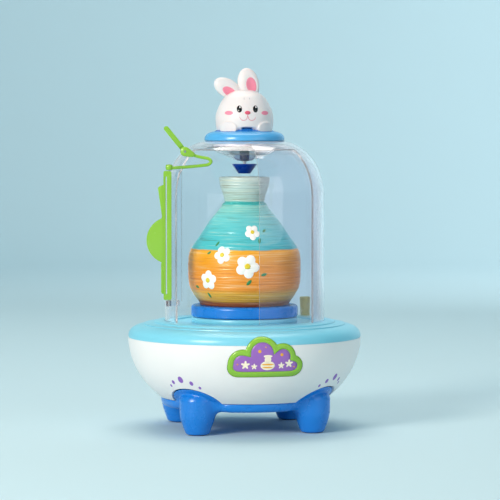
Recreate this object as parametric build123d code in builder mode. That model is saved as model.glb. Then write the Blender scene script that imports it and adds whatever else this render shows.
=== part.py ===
"""Child's battery-driven pottery wheel.

Millimetres, +Z up. The origin is on the surface the wheel stands on, under the spindle.
The badge faces -Y. The dome is turned a little about the spindle, so the parts that it carries
are drawn on the turned planes dome_xy and dome_xz, whose local x runs to the dome's right.
"""

from build123d import *
from math import acos, atan2, cos, degrees, pi, radians, sin, sqrt, tan
import os

os.makedirs("parts", exist_ok=True)

# ---- driving dimensions -------------------------------------------------------------------
base_r = 105.0            # widest radius, at the seam between bowl and deck
seam_z = 82.4             # height of that seam
tray_z = 20.7             # underside of the tray
bowl_foot_z = 28.8        # lower edge of the bowl
bowl_foot_r = 76.5        # radius of the bowl's lower edge
bowl_wall = 2.8
plateau_z = 97.2          # top of the deck's plateau
floor_z = 95.6            # sunk floor around the turntable
turntable_r = 48.0
turntable_z = 100.8       # underside of the turntable's rim
turntable_top = 111.0
foot_ring_r = 73.0        # the feet stand on this radius
foot_top_r = 15.8
foot_wide_z = 23.0        # the feet are widest here
foot_crown_z = 34.5       # and round over to here
foot_low_r = 11.5
dome_r = 72.0             # outside of the dome
dome_wall = 2.0
dome_spring_z = 208.8     # where the dome's wall starts to curve in
dome_top = 258.3
dome_flat_r = 31.5        # flat crown inside this radius
dome_turn = -10.5         # degrees about the spindle
opening_half = 58.0       # half the dome's front opening, degrees
opening_top = 250.0
door_left = 11.0          # left edge of the door as it stands, degrees
door_span = 98.0
fit = 0.05                # radial clearance of a running fit
gap = 0.5                 # clearance between parts that move past each other

diagonals = [45, 135, 225, 315]


def save(part, label):
    """Name a finished piece and write it."""
    part.label = label
    export_step(part, f"parts/{label}.step")


def radial(angle, height=0):
    """Upright plane through the spindle; local x points outward, angle degrees round from the front."""
    a = radians(angle - 90)
    return Plane(origin=(0, 0, height), x_dir=(cos(a), sin(a), 0), z_dir=(sin(a), -cos(a), 0))


def facing(angle, reach):
    """Upright plane that faces outward at this radius; local x runs round the spindle, local y up."""
    a = radians(angle - 90)
    spot = (reach * cos(a), reach * sin(a), 0)
    return Plane(origin=spot, x_dir=(-sin(a), cos(a), 0), z_dir=(cos(a), sin(a), 0))


def dome_radial(angle):
    """The same, counted from the middle of the dome's opening."""
    return radial(angle + dome_turn)


dome_xy = Plane.XY.rotated((0, 0, dome_turn))
dome_xz = dome_radial(90)


def polar_spot(radius, angle):
    """A point at a radius, angle degrees round from the front."""
    return (radius * sin(radians(angle)), -radius * cos(radians(angle)))


def ring(inner, outer, low, high, plane=Plane.XY):
    """A plain upright ring or, with inner 0, a disc."""
    with BuildPart(mode=Mode.PRIVATE) as made:
        with BuildSketch(plane.offset(low)):
            Circle(outer)
            if inner:
                Circle(inner, mode=Mode.SUBTRACT)
        extrude(amount=high - low)
    return made.part


# ---- base: tray with feet, pads, bowl -------------------------------------------------------
arch_half = 25.0          # half width of the arch over each foot
arch_rise = 12.8          # its height above the bowl's lower edge
tray_wall = 2.4
window_turn = -7.0        # snap window in the tray's front
screw_r, screw_head_r = 1.4, 2.8
plate_w, plate_d, plate_y = 92.0, 76.0, 17.0      # gearbox plates
post_spots = [(sx * 40.0, plate_y + sy * 32.0) for sx in (-1, 1) for sy in (-1, 1)]
battery_w, battery_d, battery_y = 58.0, 62.0, -28.0
pad_r = 7.0
pad_proud = 0.5


def bowl_curve(inset=0.0):
    """Points of the bowl's side, from its lower edge to the seam."""
    return [
        (bowl_foot_r - inset, bowl_foot_z),
        (92.0 - inset, 41.0),
        (104.2 - inset, 60.0),
        (base_r - inset, seam_z),
    ]


def arch_prism(grow=0.0, turn=0.0):
    """Radial prism of the arch over one foot."""
    with BuildPart(mode=Mode.PRIVATE) as made:
        with BuildSketch(facing(turn, 50)):
            with BuildLine():
                EllipticalCenterArc(
                    (0, bowl_foot_z),
                    arch_half + grow,
                    arch_rise + grow,
                    start_angle=0,
                    arc_size=180,
                )
                Polyline(
                    (-arch_half - grow, bowl_foot_z), (-arch_half - grow, 24.0),
                    (arch_half + grow, 24.0), (arch_half + grow, bowl_foot_z),
                )
            make_face()
        extrude(amount=60)
    return made.part


def foot(turn):
    """One tapering foot with a rounded sole, its pad's recess in the sole."""
    foot_x, foot_y = polar_spot(foot_ring_r, turn)
    sole = 3.5
    with BuildPart(mode=Mode.PRIVATE) as made:
        with BuildSketch(Plane((foot_x, foot_y, 0), x_dir=(1, 0, 0), z_dir=(0, -1, 0))):
            with BuildLine():
                Polyline((0, pad_proud + 1.2), (pad_r, pad_proud + 1.2), (pad_r, pad_proud), (foot_low_r - sole, pad_proud))
                Spline(
                    (foot_low_r - sole, pad_proud), (foot_low_r, pad_proud + sole), (foot_top_r, foot_wide_z),
                    (foot_top_r - 5, foot_crown_z - 2.5), (0, foot_crown_z),
                    tangents=((1, 0), (-1, 0)),
                )
                Line((0, foot_crown_z), (0, pad_proud + 1.2))
            make_face()
        revolve(axis=Axis((foot_x, foot_y, 0), (0, 0, 1)))
    return made.part


with BuildPart() as bowl_core:
    with BuildSketch(Plane.XZ):
        with BuildLine():
            Bezier(*bowl_curve(1.0))
            Polyline((base_r - 1.0, seam_z), (0, seam_z), (0, 25.0), (74.0, 25.0), (bowl_foot_r - 1.0, bowl_foot_z))
        make_face()
    revolve(axis=Axis.Z)

with BuildPart() as base_tray:
    with BuildSketch(Plane.XZ):
        with BuildLine():
            Polyline((0, tray_z + tray_wall), (0, tray_z), (70.0, tray_z))
            Bezier((70.0, tray_z), (74.0, tray_z), (75.5, tray_z + 2.5), (75.5, bowl_foot_z))
            Polyline((75.5, bowl_foot_z), (73.4, bowl_foot_z), (73.4, bowl_foot_z + 6), (71.2, bowl_foot_z + 6))
            Polyline((71.2, bowl_foot_z + 6), (71.2, tray_z + tray_wall), (0, tray_z + tray_wall))
        make_face()
    revolve(axis=Axis.Z)
    for turn in diagonals:
        add(arch_prism(0.0, turn) & bowl_core.part)
        add(foot(turn))
    with BuildSketch(Plane.XY.offset(tray_z + tray_wall)):
        Circle(71.2)
    extrude(amount=30, mode=Mode.SUBTRACT)
    with BuildSketch(Plane.XY.offset(tray_z - 1)):
        with Locations((0, battery_y)):
            Rectangle(battery_w - 4, battery_d - 4)
    extrude(amount=tray_wall + 2, mode=Mode.SUBTRACT)
    for spot in post_spots:
        at = Plane((*spot, 0))
        add(ring(0, screw_r, tray_z, tray_z + 4, at) + ring(0, 2.9, tray_z - 1, tray_z + 1.1, at), mode=Mode.SUBTRACT)
    with BuildSketch(facing(window_turn, 70)):
        with Locations((0, 25.2)):
            Rectangle(7.2, 1.8)
    extrude(amount=10, mode=Mode.SUBTRACT)
save(base_tray.part, "base_tray")

with BuildPart() as foot_pads:
    with Locations(*[polar_spot(foot_ring_r, turn) + (0,) for turn in diagonals]):
        Cylinder(pad_r, pad_proud + 1.2, align=(Align.CENTER, Align.CENTER, Align.MIN))
save(foot_pads.part, "foot_pads")

# ---- bowl, deck and badge -------------------------------------------------------------------
switch_z = 60.0           # power rocker at the rear of the bowl
switch_w, switch_h = 21.0, 14.0

badge_low = 54.5
badge_bar = 73.5          # top of the cloud's flat-bottomed bar
badge_half = 33.2
badge_thick = 1.6
badge_proud = 0.7
badge_rim = 5.2           # width of the badge's green frame
badge_lobes = [           # centre x, centre z, radius of the cloud's round lobes
    (-20.5, 67.0, 12.4),
    (-3.5, 75.4, 15.0),
    (14.5, 72.2, 12.2),
    (24.0, 64.2, 9.6),
]


def badge_shell(inner, outer):
    """Shell that follows the side of the bowl and the deck's shoulder, between two offsets."""
    with BuildPart(mode=Mode.PRIVATE) as made:
        with BuildSketch(Plane.XZ):
            with BuildLine():
                side = bowl_curve(-outer)
                Bezier(*side)
                Bezier(side[-1], (base_r + outer, 88.0), (base_r + outer - 3, 91.0), (96.0 + outer, 94.0))
                Line((96.0 + outer, 94.0), (96.0 + inner, 94.0))
                back = bowl_curve(-inner)
                Bezier((96.0 + inner, 94.0), (base_r + inner - 3, 91.0), (base_r + inner, 88.0), back[-1])
                Bezier(*reversed(back))
                Line(back[0], side[0])
            make_face()
        revolve(axis=Axis.Z)
    return made.part


def badge_prism(shrink=0.0):
    """Cloud outline, lobes on a flat-bottomed bar, as a prism along Y."""
    with BuildPart(mode=Mode.PRIVATE) as made:
        with BuildSketch(Plane.XZ.offset(80)):
            for x, z, r in badge_lobes:
                with Locations((x, z)):
                    Circle(r)
            with Locations((0, (badge_low + badge_bar) / 2)):
                SlotOverall(2 * badge_half, badge_bar - badge_low)
            if shrink:
                offset(amount=-shrink, mode=Mode.REPLACE)
        extrude(amount=40)
    return made.part


with BuildPart() as lower_bowl:
    with BuildSketch(Plane.XZ):
        with BuildLine():
            outer = bowl_curve()
            inner = bowl_curve(bowl_wall)
            Bezier(*outer)
            Line(outer[-1], inner[-1])
            Bezier(*reversed(inner))
            Line(inner[0], outer[0])
        make_face()
    revolve(axis=Axis.Z)
    for turn in diagonals:
        add(arch_prism(0.6, turn), mode=Mode.SUBTRACT)
    add(badge_prism().intersect(badge_shell(badge_proud - badge_thick, badge_proud)), mode=Mode.SUBTRACT)
    with BuildSketch(Plane.XZ.offset(-80)):
        with Locations((0, switch_z)):
            Rectangle(switch_w + 0.2, switch_h + 0.2)
    extrude(amount=-40, mode=Mode.SUBTRACT)
save(lower_bowl.part, "lower_bowl")

deck_wall = 2.4
groove_in, groove_out = dome_r - dome_wall - gap, dome_r + gap
groove_floor = 93.2
boss_r = 8.0
cup_spot = polar_spot(79.3, 132.9 + dome_turn)
cup_seat_z = 94.6
cup_low_r, cup_top_r, cup_height = 4.9, 5.7, 19.4

with BuildPart() as deck_cover:
    with BuildSketch(Plane.XZ):
        with BuildLine():
            Polyline((base_r - bowl_wall, seam_z), (base_r - 0.4, seam_z), (base_r - 0.4, seam_z + 0.6))
            Bezier((base_r - 0.4, seam_z + 0.6), (base_r, 89.5), (98.5, 93.0), (90.6, 93.7))
            Polyline(
                (90.6, 93.7), (90.4, 94.5), (81.4, 95.4), (81.0, 96.3), (78.0, plateau_z),
                (63.4, plateau_z), (62.6, floor_z), (boss_r + 8, floor_z), (boss_r + 7.4, floor_z + 0.8),
                (3.6, floor_z + 0.8), (3.6, 84.0), (boss_r, 84.0), (boss_r, floor_z - deck_wall),
                (67.0, floor_z - deck_wall), (67.0, 90.8), (75.0, 90.8), (75.0, 93.4), (90.0, 91.0),
            )
            Bezier((90.0, 91.0), (97.0, 90.5), (base_r - bowl_wall, 88.0), (base_r - bowl_wall, seam_z))
        make_face()
    revolve(axis=Axis.Z)
    with BuildSketch(dome_radial(opening_half - 0.6)):
        with Locations(((groove_in + groove_out) / 2, (groove_floor + plateau_z + 1) / 2)):
            Rectangle(groove_out - groove_in, plateau_z + 1 - groove_floor)
    revolve(axis=Axis.Z, revolution_arc=361.2 - 2 * opening_half, mode=Mode.SUBTRACT)
    add(ring(0, cup_low_r + 1.6, 92.8, 96.4, Plane((*cup_spot, 0))))
    add(ring(0, cup_low_r + 0.5, cup_seat_z - 0.4, 99, Plane((*cup_spot, 0))), mode=Mode.SUBTRACT)
    add(badge_prism().intersect(badge_shell(badge_proud - badge_thick, badge_proud)), mode=Mode.SUBTRACT)
save(deck_cover.part, "deck_cover")

badge_face = badge_shell(badge_proud - badge_thick, badge_proud)
with BuildPart() as badge_frame:
    add((badge_prism() - badge_prism(badge_rim)).intersect(badge_face))
save(badge_frame.part, "badge_frame")

with BuildPart() as badge_plate:
    add(badge_prism(badge_rim).intersect(badge_shell(badge_proud - badge_thick, badge_proud - 0.5)))
save(badge_plate.part, "badge_plate")

# ---- turntable and drive --------------------------------------------------------------------
spindle_r = 3.0
spindle_low, spindle_high = 44.0, 106.0
lower_plate_z, upper_plate_z, plate_t = 50.0, 73.5, 2.5
main_teeth, small_teeth, main_module = 60, 12, 1.0
idler_teeth, motor_teeth, first_module = 54, 12, 0.8
main_low, main_high = 64.0, 70.0
idler_low, idler_high = 54.0, 59.0
backlash = 0.22
idler_spot = (0.0, main_module * (main_teeth + small_teeth) / 2)
motor_reach = first_module * (idler_teeth + motor_teeth) / 2
motor_spot = (motor_reach, idler_spot[1])


def involute(pressure):
    return tan(pressure) - pressure


def gear_sketch(teeth, module, first_tooth, addendum):
    """Outline of a 20 degree involute gear; first_tooth is the polar angle of one tooth's middle."""
    pitch_r = module * teeth / 2
    base = pitch_r * cos(radians(20))
    tip, root = pitch_r + addendum * module, pitch_r - 1.15 * module
    low = max(base, root)
    at_pitch = pi / 2 / teeth - backlash / 4 / pitch_r + involute(radians(20))
    radii = [low + (tip - low) * step / 4 for step in range(5)]
    flank = [(r, at_pitch - involute(acos(base / r))) for r in radii]
    if root < base:
        flank.insert(0, (root, flank[0][1]))
    outline = []
    for tooth in range(teeth):
        middle = radians(first_tooth + 360 * tooth / teeth)
        outline += [(r * cos(middle - a), r * sin(middle - a)) for r, a in flank]
        outline += [(r * cos(middle + a), r * sin(middle + a)) for r, a in reversed(flank)]
    Polygon(*outline, align=None)


with BuildPart() as main_gear:
    with BuildSketch(Plane.XY.offset(main_low)):
        gear_sketch(main_teeth, main_module, 90 + 180 / main_teeth, 0.75)
        Circle(spindle_r, mode=Mode.SUBTRACT)
        with PolarLocations(17, 6):
            Circle(5.5, mode=Mode.SUBTRACT)
    extrude(amount=main_high - main_low)
    add(ring(spindle_r, 7.0, 60.0, upper_plate_z - 1.6))
save(main_gear.part, "main_gear")

idler_plane = Plane((*idler_spot, 0))
idler_axle_r = 1.5
with BuildPart() as idler_gear:
    with BuildSketch(idler_plane.offset(idler_low)):
        gear_sketch(idler_teeth, first_module, 180 / idler_teeth, 0.75)
        with PolarLocations(13, 5):
            Circle(3.6, mode=Mode.SUBTRACT)
    extrude(amount=idler_high - idler_low)
    with BuildSketch(idler_plane.offset(idler_high)):
        gear_sketch(small_teeth, main_module, 270, 1.0)
    extrude(amount=main_high + 1 - idler_high)
    add(ring(0, idler_axle_r + fit, idler_low - 1, main_high + 2, idler_plane), mode=Mode.SUBTRACT)
save(idler_gear.part, "idler_gear")

with BuildPart() as idler_axle:
    add(ring(0, idler_axle_r, lower_plate_z, upper_plate_z + plate_t, idler_plane))
save(idler_axle.part, "idler_axle")

motor_plane = Plane((*motor_spot, 0))
motor_r, motor_low, shaft_r = 10.2, 26.0, 1.0
with BuildPart() as motor_pinion:
    with BuildSketch(motor_plane.offset(53.2)):
        gear_sketch(motor_teeth, first_module, 180, 1.0)
        Circle(shaft_r, mode=Mode.SUBTRACT)
    extrude(amount=6.6)
save(motor_pinion.part, "motor_pinion")

with BuildPart() as motor_rotor:
    add(ring(0, shaft_r, motor_low + 1.4, 60.6, motor_plane))
    add(ring(0, 6.4, 31.0, 44.0, motor_plane))
    with BuildSketch(motor_plane.offset(31.0)):
        with PolarLocations(5.4, 3):
            Rectangle(2.6, 1.0)
    extrude(amount=13.0, mode=Mode.SUBTRACT)
    add(ring(0, 2.4, 28.2, 31.0, motor_plane))
save(motor_rotor.part, "motor_rotor")

with BuildPart() as motor_can:
    with BuildSketch(motor_plane.offset(28.0)):
        Circle(motor_r)
        Rectangle(2 * motor_r, 15.4, mode=Mode.INTERSECT)
    extrude(amount=lower_plate_z - 28.0)
    with BuildSketch(motor_plane.offset(28.0)):
        Circle(motor_r - 1.0)
        Rectangle(2 * motor_r, 13.4, mode=Mode.INTERSECT)
    extrude(amount=lower_plate_z - 29.0, mode=Mode.SUBTRACT)
    add(ring(0, shaft_r + fit, 48.0, 51.0, motor_plane), mode=Mode.SUBTRACT)
save(motor_can.part, "motor_can")

with BuildPart() as motor_end_cap:
    with BuildSketch(motor_plane.offset(motor_low)):
        Circle(motor_r)
        Rectangle(2 * motor_r, 15.4, mode=Mode.INTERSECT)
    extrude(amount=2.0)
    add(ring(0, shaft_r + fit, motor_low + 1.0, motor_low + 3.0, motor_plane), mode=Mode.SUBTRACT)
save(motor_end_cap.part, "motor_end_cap")

with BuildPart() as motor_clamp:
    with BuildSketch(motor_plane.offset(40.0)):
        Rectangle(2 * motor_r + 2.4, 17.4)
        Circle(motor_r, mode=Mode.SUBTRACT)
        Rectangle(2 * motor_r, 15.4, mode=Mode.SUBTRACT)
    extrude(amount=lower_plate_z - 40.0)
save(motor_clamp.part, "motor_clamp")

# ---- gearbox plates, posts, bushes ----------------------------------------------------------
bush_r = 6.0
post_r = 4.0


def plate(low, hole_r):
    """One gearbox plate with holes for the bush, the idler's axle and the screws."""
    with BuildPart(mode=Mode.PRIVATE) as made:
        with BuildSketch(Plane.XY.offset(low)):
            with Locations((0, plate_y)):
                RectangleRounded(plate_w, plate_d, 6)
            Circle(hole_r, mode=Mode.SUBTRACT)
            with Locations(idler_spot):
                Circle(idler_axle_r, mode=Mode.SUBTRACT)
            with Locations(*post_spots):
                Circle(screw_r, mode=Mode.SUBTRACT)
        extrude(amount=plate_t)
    return made.part


with BuildPart() as lower_plate:
    add(plate(lower_plate_z, bush_r))
    add(ring(0, 3.2, lower_plate_z - 1, lower_plate_z + 5, motor_plane), mode=Mode.SUBTRACT)
save(lower_plate.part, "lower_plate")

with BuildPart() as upper_plate:
    add(plate(upper_plate_z, bush_r))
save(upper_plate.part, "upper_plate")

with BuildPart() as plate_posts:
    for spot in post_spots:
        at = Plane((*spot, 0))
        add(ring(screw_r, post_r, tray_z + tray_wall, lower_plate_z, at))
        add(ring(screw_r, post_r, lower_plate_z + plate_t, upper_plate_z, at))
save(plate_posts.part, "plate_posts")


def screw(spot, low, high, head):
    """A screw's shank between two heights, its head on top, or below if head is negative."""
    at = Plane((*spot, 0))
    ends = (high, high + head) if head > 0 else (low + head, low)
    return ring(0, screw_r, low, high, at) + ring(0, screw_head_r, *ends, at)


with BuildPart() as plate_screws:
    for spot in post_spots:
        add(screw(spot, upper_plate_z - 8, upper_plate_z + plate_t, 1.8))
        add(screw(spot, tray_z + 1.1, tray_z + 12, -1.0))
save(plate_screws.part, "plate_screws")

with BuildPart() as spindle_bushes:
    for low in (lower_plate_z - 2, upper_plate_z - 1):
        add(ring(spindle_r + fit, bush_r, low, low + 6))
save(spindle_bushes.part, "spindle_bushes")

with BuildPart() as thrust_washer:
    add(ring(spindle_r + 0.4, 7.0, upper_plate_z - 1.6, upper_plate_z - 1.0))
save(thrust_washer.part, "thrust_washer")

with BuildPart() as lip_seal:
    add(ring(3.6, 7.4, floor_z + 0.8, floor_z + 2.2))
    add(ring(3.6, 4.6, floor_z + 2.2, floor_z + 3.4))
save(lip_seal.part, "lip_seal")

with BuildPart() as spindle:
    add(ring(0, spindle_r, spindle_low, spindle_high))
    with BuildSketch(Plane.XY.offset(spindle_high - 7)):
        with Locations((2.6, 0)):
            Rectangle(1.2, 8)
    extrude(amount=7, mode=Mode.SUBTRACT)
save(spindle.part, "spindle")

with BuildPart() as spindle_clip:
    add(ring(spindle_r, 5.4, lower_plate_z - 3.0, lower_plate_z - 2.2))
save(spindle_clip.part, "spindle_clip")

with BuildPart() as turntable:
    with BuildSketch(Plane.XZ):
        with BuildLine():
            rim = 2.6
            Polyline((0, turntable_top - 3), (0, turntable_top), (turntable_r - 8.0, turntable_top))
            Polyline(
                (turntable_r - 8.0, turntable_top), (turntable_r - 8.0, turntable_top - 0.5),
                (turntable_r - 7.0, turntable_top - 0.5), (turntable_r - 7.0, turntable_top),
                (turntable_r - rim, turntable_top),
            )
            CenterArc((turntable_r - rim, turntable_top - rim), rim, 0, 90)
            Line((turntable_r, turntable_top - rim), (turntable_r, turntable_z + 0.8))
            Polyline(
                (turntable_r, turntable_z + 0.8), (turntable_r - 0.8, turntable_z), (turntable_r - 2.2, turntable_z),
                (turntable_r - 2.2, turntable_top - 3), (8.5, turntable_top - 3), (8.5, floor_z + 4.2),
                (spindle_r, floor_z + 4.2), (spindle_r, turntable_top - 3), (0, turntable_top - 3),
            )
        make_face()
    revolve(axis=Axis.Z)
    add(ring(0, spindle_r, turntable_top - 6, spindle_high), mode=Mode.SUBTRACT)
save(turntable.part, "turntable")

# ---- clay pot -------------------------------------------------------------------------------
pot_low = turntable_top
pot_wall = 3.4
pot_side = [
    (39.6, pot_low), (49.2, pot_low + 16.0), (50.8, pot_low + 31.0), (48.8, pot_low + 49.0), (42.6, pot_low + 58.5),
    (34.4, pot_low + 71.0), (25.2, pot_low + 83.0), (19.0, pot_low + 94.0), (20.4, pot_low + 104.0),
]
pot_rim_r, pot_rim_z = 23.2, pot_low + 113.5

with BuildPart() as clay_pot:
    with BuildSketch(Plane.XZ):
        with BuildLine():
            Line((0, pot_low), pot_side[0])
            Spline(*pot_side, (pot_rim_r, pot_rim_z - 2.0), tangents=((0.55, 1), (0.1, 1)))
            ThreePointArc(
                (pot_rim_r, pot_rim_z - 2.0), (pot_rim_r - 1.6, pot_rim_z), (pot_rim_r - 3.2, pot_rim_z - 2.0)
            )
            inside = [(r - pot_wall, z) for r, z in reversed(pot_side[1:])]
            Spline((pot_rim_r - 3.2, pot_rim_z - 2.0), *inside, (37.0, pot_low + 5.0))
            Polyline((37.0, pot_low + 5.0), (0, pot_low + 5.0), (0, pot_low))
        make_face()
    revolve(axis=Axis.Z)
save(clay_pot.part, "clay_pot")

# ---- batteries, board, leads ----------------------------------------------------------------
cell_r, cell_len, cell_pitch = 7.0, 49.0, 14.4
box_low, box_high = tray_z + tray_wall, 41.5
cell_z = 31.5
cell_rows = [battery_y + (row - 1.5) * cell_pitch for row in range(4)]
cell_ends = [1, -1, 1, -1]            # which way each cell's button points

with BuildPart() as battery_box:
    with BuildSketch(Plane.XY.offset(box_low)):
        with Locations((0, battery_y)):
            Rectangle(battery_w, battery_d)
    extrude(amount=box_high - box_low)
    with BuildSketch(Plane.XY.offset(box_low)):
        with Locations((0, battery_y)):
            Rectangle(battery_w - 3.2, battery_d - 3.2)
    extrude(amount=box_high - box_low - 1.6, mode=Mode.SUBTRACT)
    with BuildSketch(Plane.XY.offset(box_high)):
        with Locations((0, battery_y - 16)):
            with GridLocations(38, 22, 2, 2):
                Circle(2.0)
    extrude(amount=2.5)
save(battery_box.part, "battery_box")

with BuildPart() as battery_cells:
    for row, button in zip(cell_rows, cell_ends):
        with BuildSketch(Plane.YZ.offset(-cell_len / 2)):
            with Locations((row, cell_z)):
                Circle(cell_r)
        extrude(amount=cell_len)
        with BuildSketch(Plane.YZ.offset(button * cell_len / 2)):
            with Locations((row, cell_z)):
                Circle(2.6)
        extrude(amount=button * 1.0)
save(battery_cells.part, "battery_cells")

with BuildPart() as battery_contacts:
    for row, button in zip(cell_rows, cell_ends):
        for side in (-1, 1):
            reach = cell_len / 2 + (1.0 if side == button else 0.0)
            wall = battery_w / 2 - 1.6
            with BuildSketch(Plane.YZ.offset(side * reach)):
                with Locations((row, cell_z)):
                    Circle(2.4 if side == button else 3.4)
            extrude(amount=side * (wall - 0.4 - reach))
            with BuildSketch(Plane.YZ.offset(side * (wall - 0.4))):
                with Locations((row, cell_z)):
                    Rectangle(10, 11)
            extrude(amount=side * 0.4)
save(battery_contacts.part, "battery_contacts")

door_gap = 0.4
with BuildPart() as battery_door:
    with BuildSketch(Plane.XY.offset(tray_z + 0.1)):
        with Locations((0, battery_y)):
            Rectangle(battery_w - 4 - 2 * door_gap, battery_d - 4 - 2 * door_gap)
    extrude(amount=1.8)
    with BuildSketch(Plane.XY.offset(tray_z + 1.9)):
        with Locations((0, battery_y)):
            with GridLocations(0, 18, 1, 3):
                Rectangle(40, 1.2)
    extrude(amount=0.6)
    with BuildSketch(Plane.XY.offset(tray_z)):
        with Locations((0, battery_y + 24)):
            Circle(screw_head_r + 0.2)
    extrude(amount=0.9, mode=Mode.SUBTRACT)
    with BuildSketch(Plane.XY.offset(tray_z)):
        with Locations((0, battery_y + 24)):
            Circle(screw_r)
    extrude(amount=4, mode=Mode.SUBTRACT)
save(battery_door.part, "battery_door")

with BuildPart() as door_screw:
    add(screw((0, battery_y + 24), tray_z + 0.9, tray_z + 2.6, -0.7))
save(door_screw.part, "door_screw")

board_z = box_high + 2.5
with BuildPart() as circuit_board:
    with BuildSketch(Plane.XY.offset(board_z)):
        with Locations((0, battery_y - 16)):
            Rectangle(44, 28)
    extrude(amount=1.6)
save(circuit_board.part, "circuit_board")

with BuildPart() as board_parts:
    with BuildSketch(Plane.XY.offset(board_z + 1.6)):
        with Locations((-8, battery_y - 18)):
            Rectangle(9, 6)
        with Locations((6, battery_y - 22)):
            Rectangle(5, 4)
        with Locations((-10, battery_y - 8)):
            Circle(2.5)
    extrude(amount=2.4)
save(board_parts.part, "board_parts")

with BuildPart() as motor_leads:
    for side in (-1.6, 1.6):
        x, y = motor_spot[0] + side, motor_spot[1]
        with BuildLine():
            FilletPolyline(
                (x, y - 7.95, motor_low + 1.0), (x, 14, 28.5), (x, 7, 44), (x - 5, -14, 47.2),
                (x - 12, -31, board_z + 2.4), radius=4.0,
            )
        with BuildSketch(Plane((x, y - 7.95, motor_low + 1.0), z_dir=(0, -1, 0.1))):
            Circle(0.8)
        sweep()
save(motor_leads.part, "motor_leads")

# ---- power rocker in the bowl's rear --------------------------------------------------------
rocker_y = 96.0
with BuildPart() as switch_bezel:
    with BuildSketch(Plane.XZ.offset(-90)):
        with Locations((0, switch_z)):
            Rectangle(switch_w, switch_h)
            Rectangle(switch_w - 4, switch_h - 4, mode=Mode.SUBTRACT)
    extrude(amount=-13.2)
    with BuildSketch(Plane.YZ.offset(-switch_w / 2)):
        with Locations((rocker_y, switch_z)):
            Circle(1.0 + fit)
    extrude(amount=switch_w, mode=Mode.SUBTRACT)
save(switch_bezel.part, "switch_bezel")

with BuildPart() as switch_module:
    with BuildSketch(Plane.XZ.offset(-84)):
        with Locations((0, switch_z)):
            Rectangle(switch_w - 1, switch_h - 1)
    extrude(amount=-6.0)
save(switch_module.part, "switch_module")

with BuildPart() as power_rocker:
    with BuildSketch(Plane.YZ.offset(-(switch_w - 5) / 2)):
        with BuildLine():
            Polyline(
                (rocker_y - 1.6, switch_z - 1.6), (rocker_y + 7.0, switch_z - 3.8), (rocker_y + 6.4, switch_z),
                (rocker_y + 7.0, switch_z + 3.8), (rocker_y - 1.6, switch_z + 1.6), close=True,
            )
        make_face()
    extrude(amount=switch_w - 5)
    with BuildSketch(Plane.YZ.offset(-(switch_w - 2) / 2)):
        with Locations((rocker_y, switch_z)):
            Circle(1.0)
    extrude(amount=switch_w - 2)
save(power_rocker.part, "power_rocker")

# ---- clear dome, door, collar and funnel ----------------------------------------------------
dome_low = groove_floor + 0.4
crown_hole_r = 24.6
ellipse_r, ellipse_h = dome_r - dome_flat_r, dome_top - dome_spring_z


def dome_section(inset, thick, low, hole_r):
    """Half-section of a shell that lies a given inset inside the dome's outer face."""
    with BuildSketch(mode=Mode.PRIVATE) as section:
        with BuildLine():
            for deep in (inset, inset + thick):
                Line((dome_r - deep, low), (dome_r - deep, dome_spring_z))
                EllipticalCenterArc(
                    (dome_flat_r, dome_spring_z), ellipse_r - deep, ellipse_h - deep, start_angle=0, arc_size=90
                )
                Line((dome_flat_r, dome_top - deep), (hole_r, dome_top - deep))
            Line((hole_r, dome_top - inset), (hole_r, dome_top - inset - thick))
            Line((dome_r - inset, low), (dome_r - inset - thick, low))
        make_face()
    return section.sketch


arm_u, arm_v = -66.4, 44.0            # template arm's pin, in the dome's own axes
arm_low, arm_high = 118.0, 232.0
arm_pin_r = 1.1
lug_low, lug_high = 112.5, 117.5
flange_low, flange_high = 116.0, 231.0
arm_spot = (arm_u, -arm_v)
edge_spot = polar_spot(dome_r - 1, -opening_half)

with BuildPart() as clear_dome:
    with BuildSketch(dome_xz):
        add(dome_section(0, dome_wall, dome_low, crown_hole_r))
    revolve(axis=Axis.Z)
    with BuildSketch(dome_radial(-opening_half)):
        with Locations((55, (opening_top + 80) / 2)):
            Rectangle(60, opening_top - 80)
    revolve(axis=Axis.Z, revolution_arc=2 * opening_half, mode=Mode.SUBTRACT)
    with BuildSketch(dome_radial(-opening_half - 0.85)):
        with Locations((67.8, (flange_low + flange_high) / 2)):
            Rectangle(5.2, flange_high - flange_low)
    extrude(amount=1.0, both=True)
    with BuildSketch(dome_xy.offset(lug_low)):
        with Locations(((arm_spot[0] + edge_spot[0]) / 2, (arm_spot[1] + edge_spot[1]) / 2)):
            reach_x, reach_y = arm_spot[0] - edge_spot[0], arm_spot[1] - edge_spot[1]
            SlotCenterToCenter(
                sqrt(reach_x**2 + reach_y**2), 6.0, rotation=degrees(atan2(reach_y, reach_x))
            )
        with Locations(arm_spot):
            Circle(arm_pin_r, mode=Mode.SUBTRACT)
    extrude(amount=lug_high - lug_low)
save(clear_dome.part, "clear_dome")

hub_r = 28.0
door_inset = dome_wall + 0.8
door_wall = 1.8
with BuildPart() as curved_door:
    with BuildSketch(dome_radial(door_left)):
        add(dome_section(door_inset, door_wall, plateau_z + 0.5, hub_r + 0.08))
    revolve(axis=Axis.Z, revolution_arc=door_span)
    hub_top = dome_top - door_inset
    add(ring(hub_r + 0.08, 33.0, hub_top - door_wall, hub_top))
save(curved_door.part, "curved_door")

collar_low = 252.8
sleeve_r = 4.4
with BuildPart() as collar:
    add(ring(sleeve_r, crown_hole_r - 0.3, 254.0, dome_top))
    add(ring(sleeve_r, hub_r, 254.0, dome_top - dome_wall))
    add(ring(sleeve_r, 20.5, collar_low, 254.0))
save(collar.part, "collar")

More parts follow.
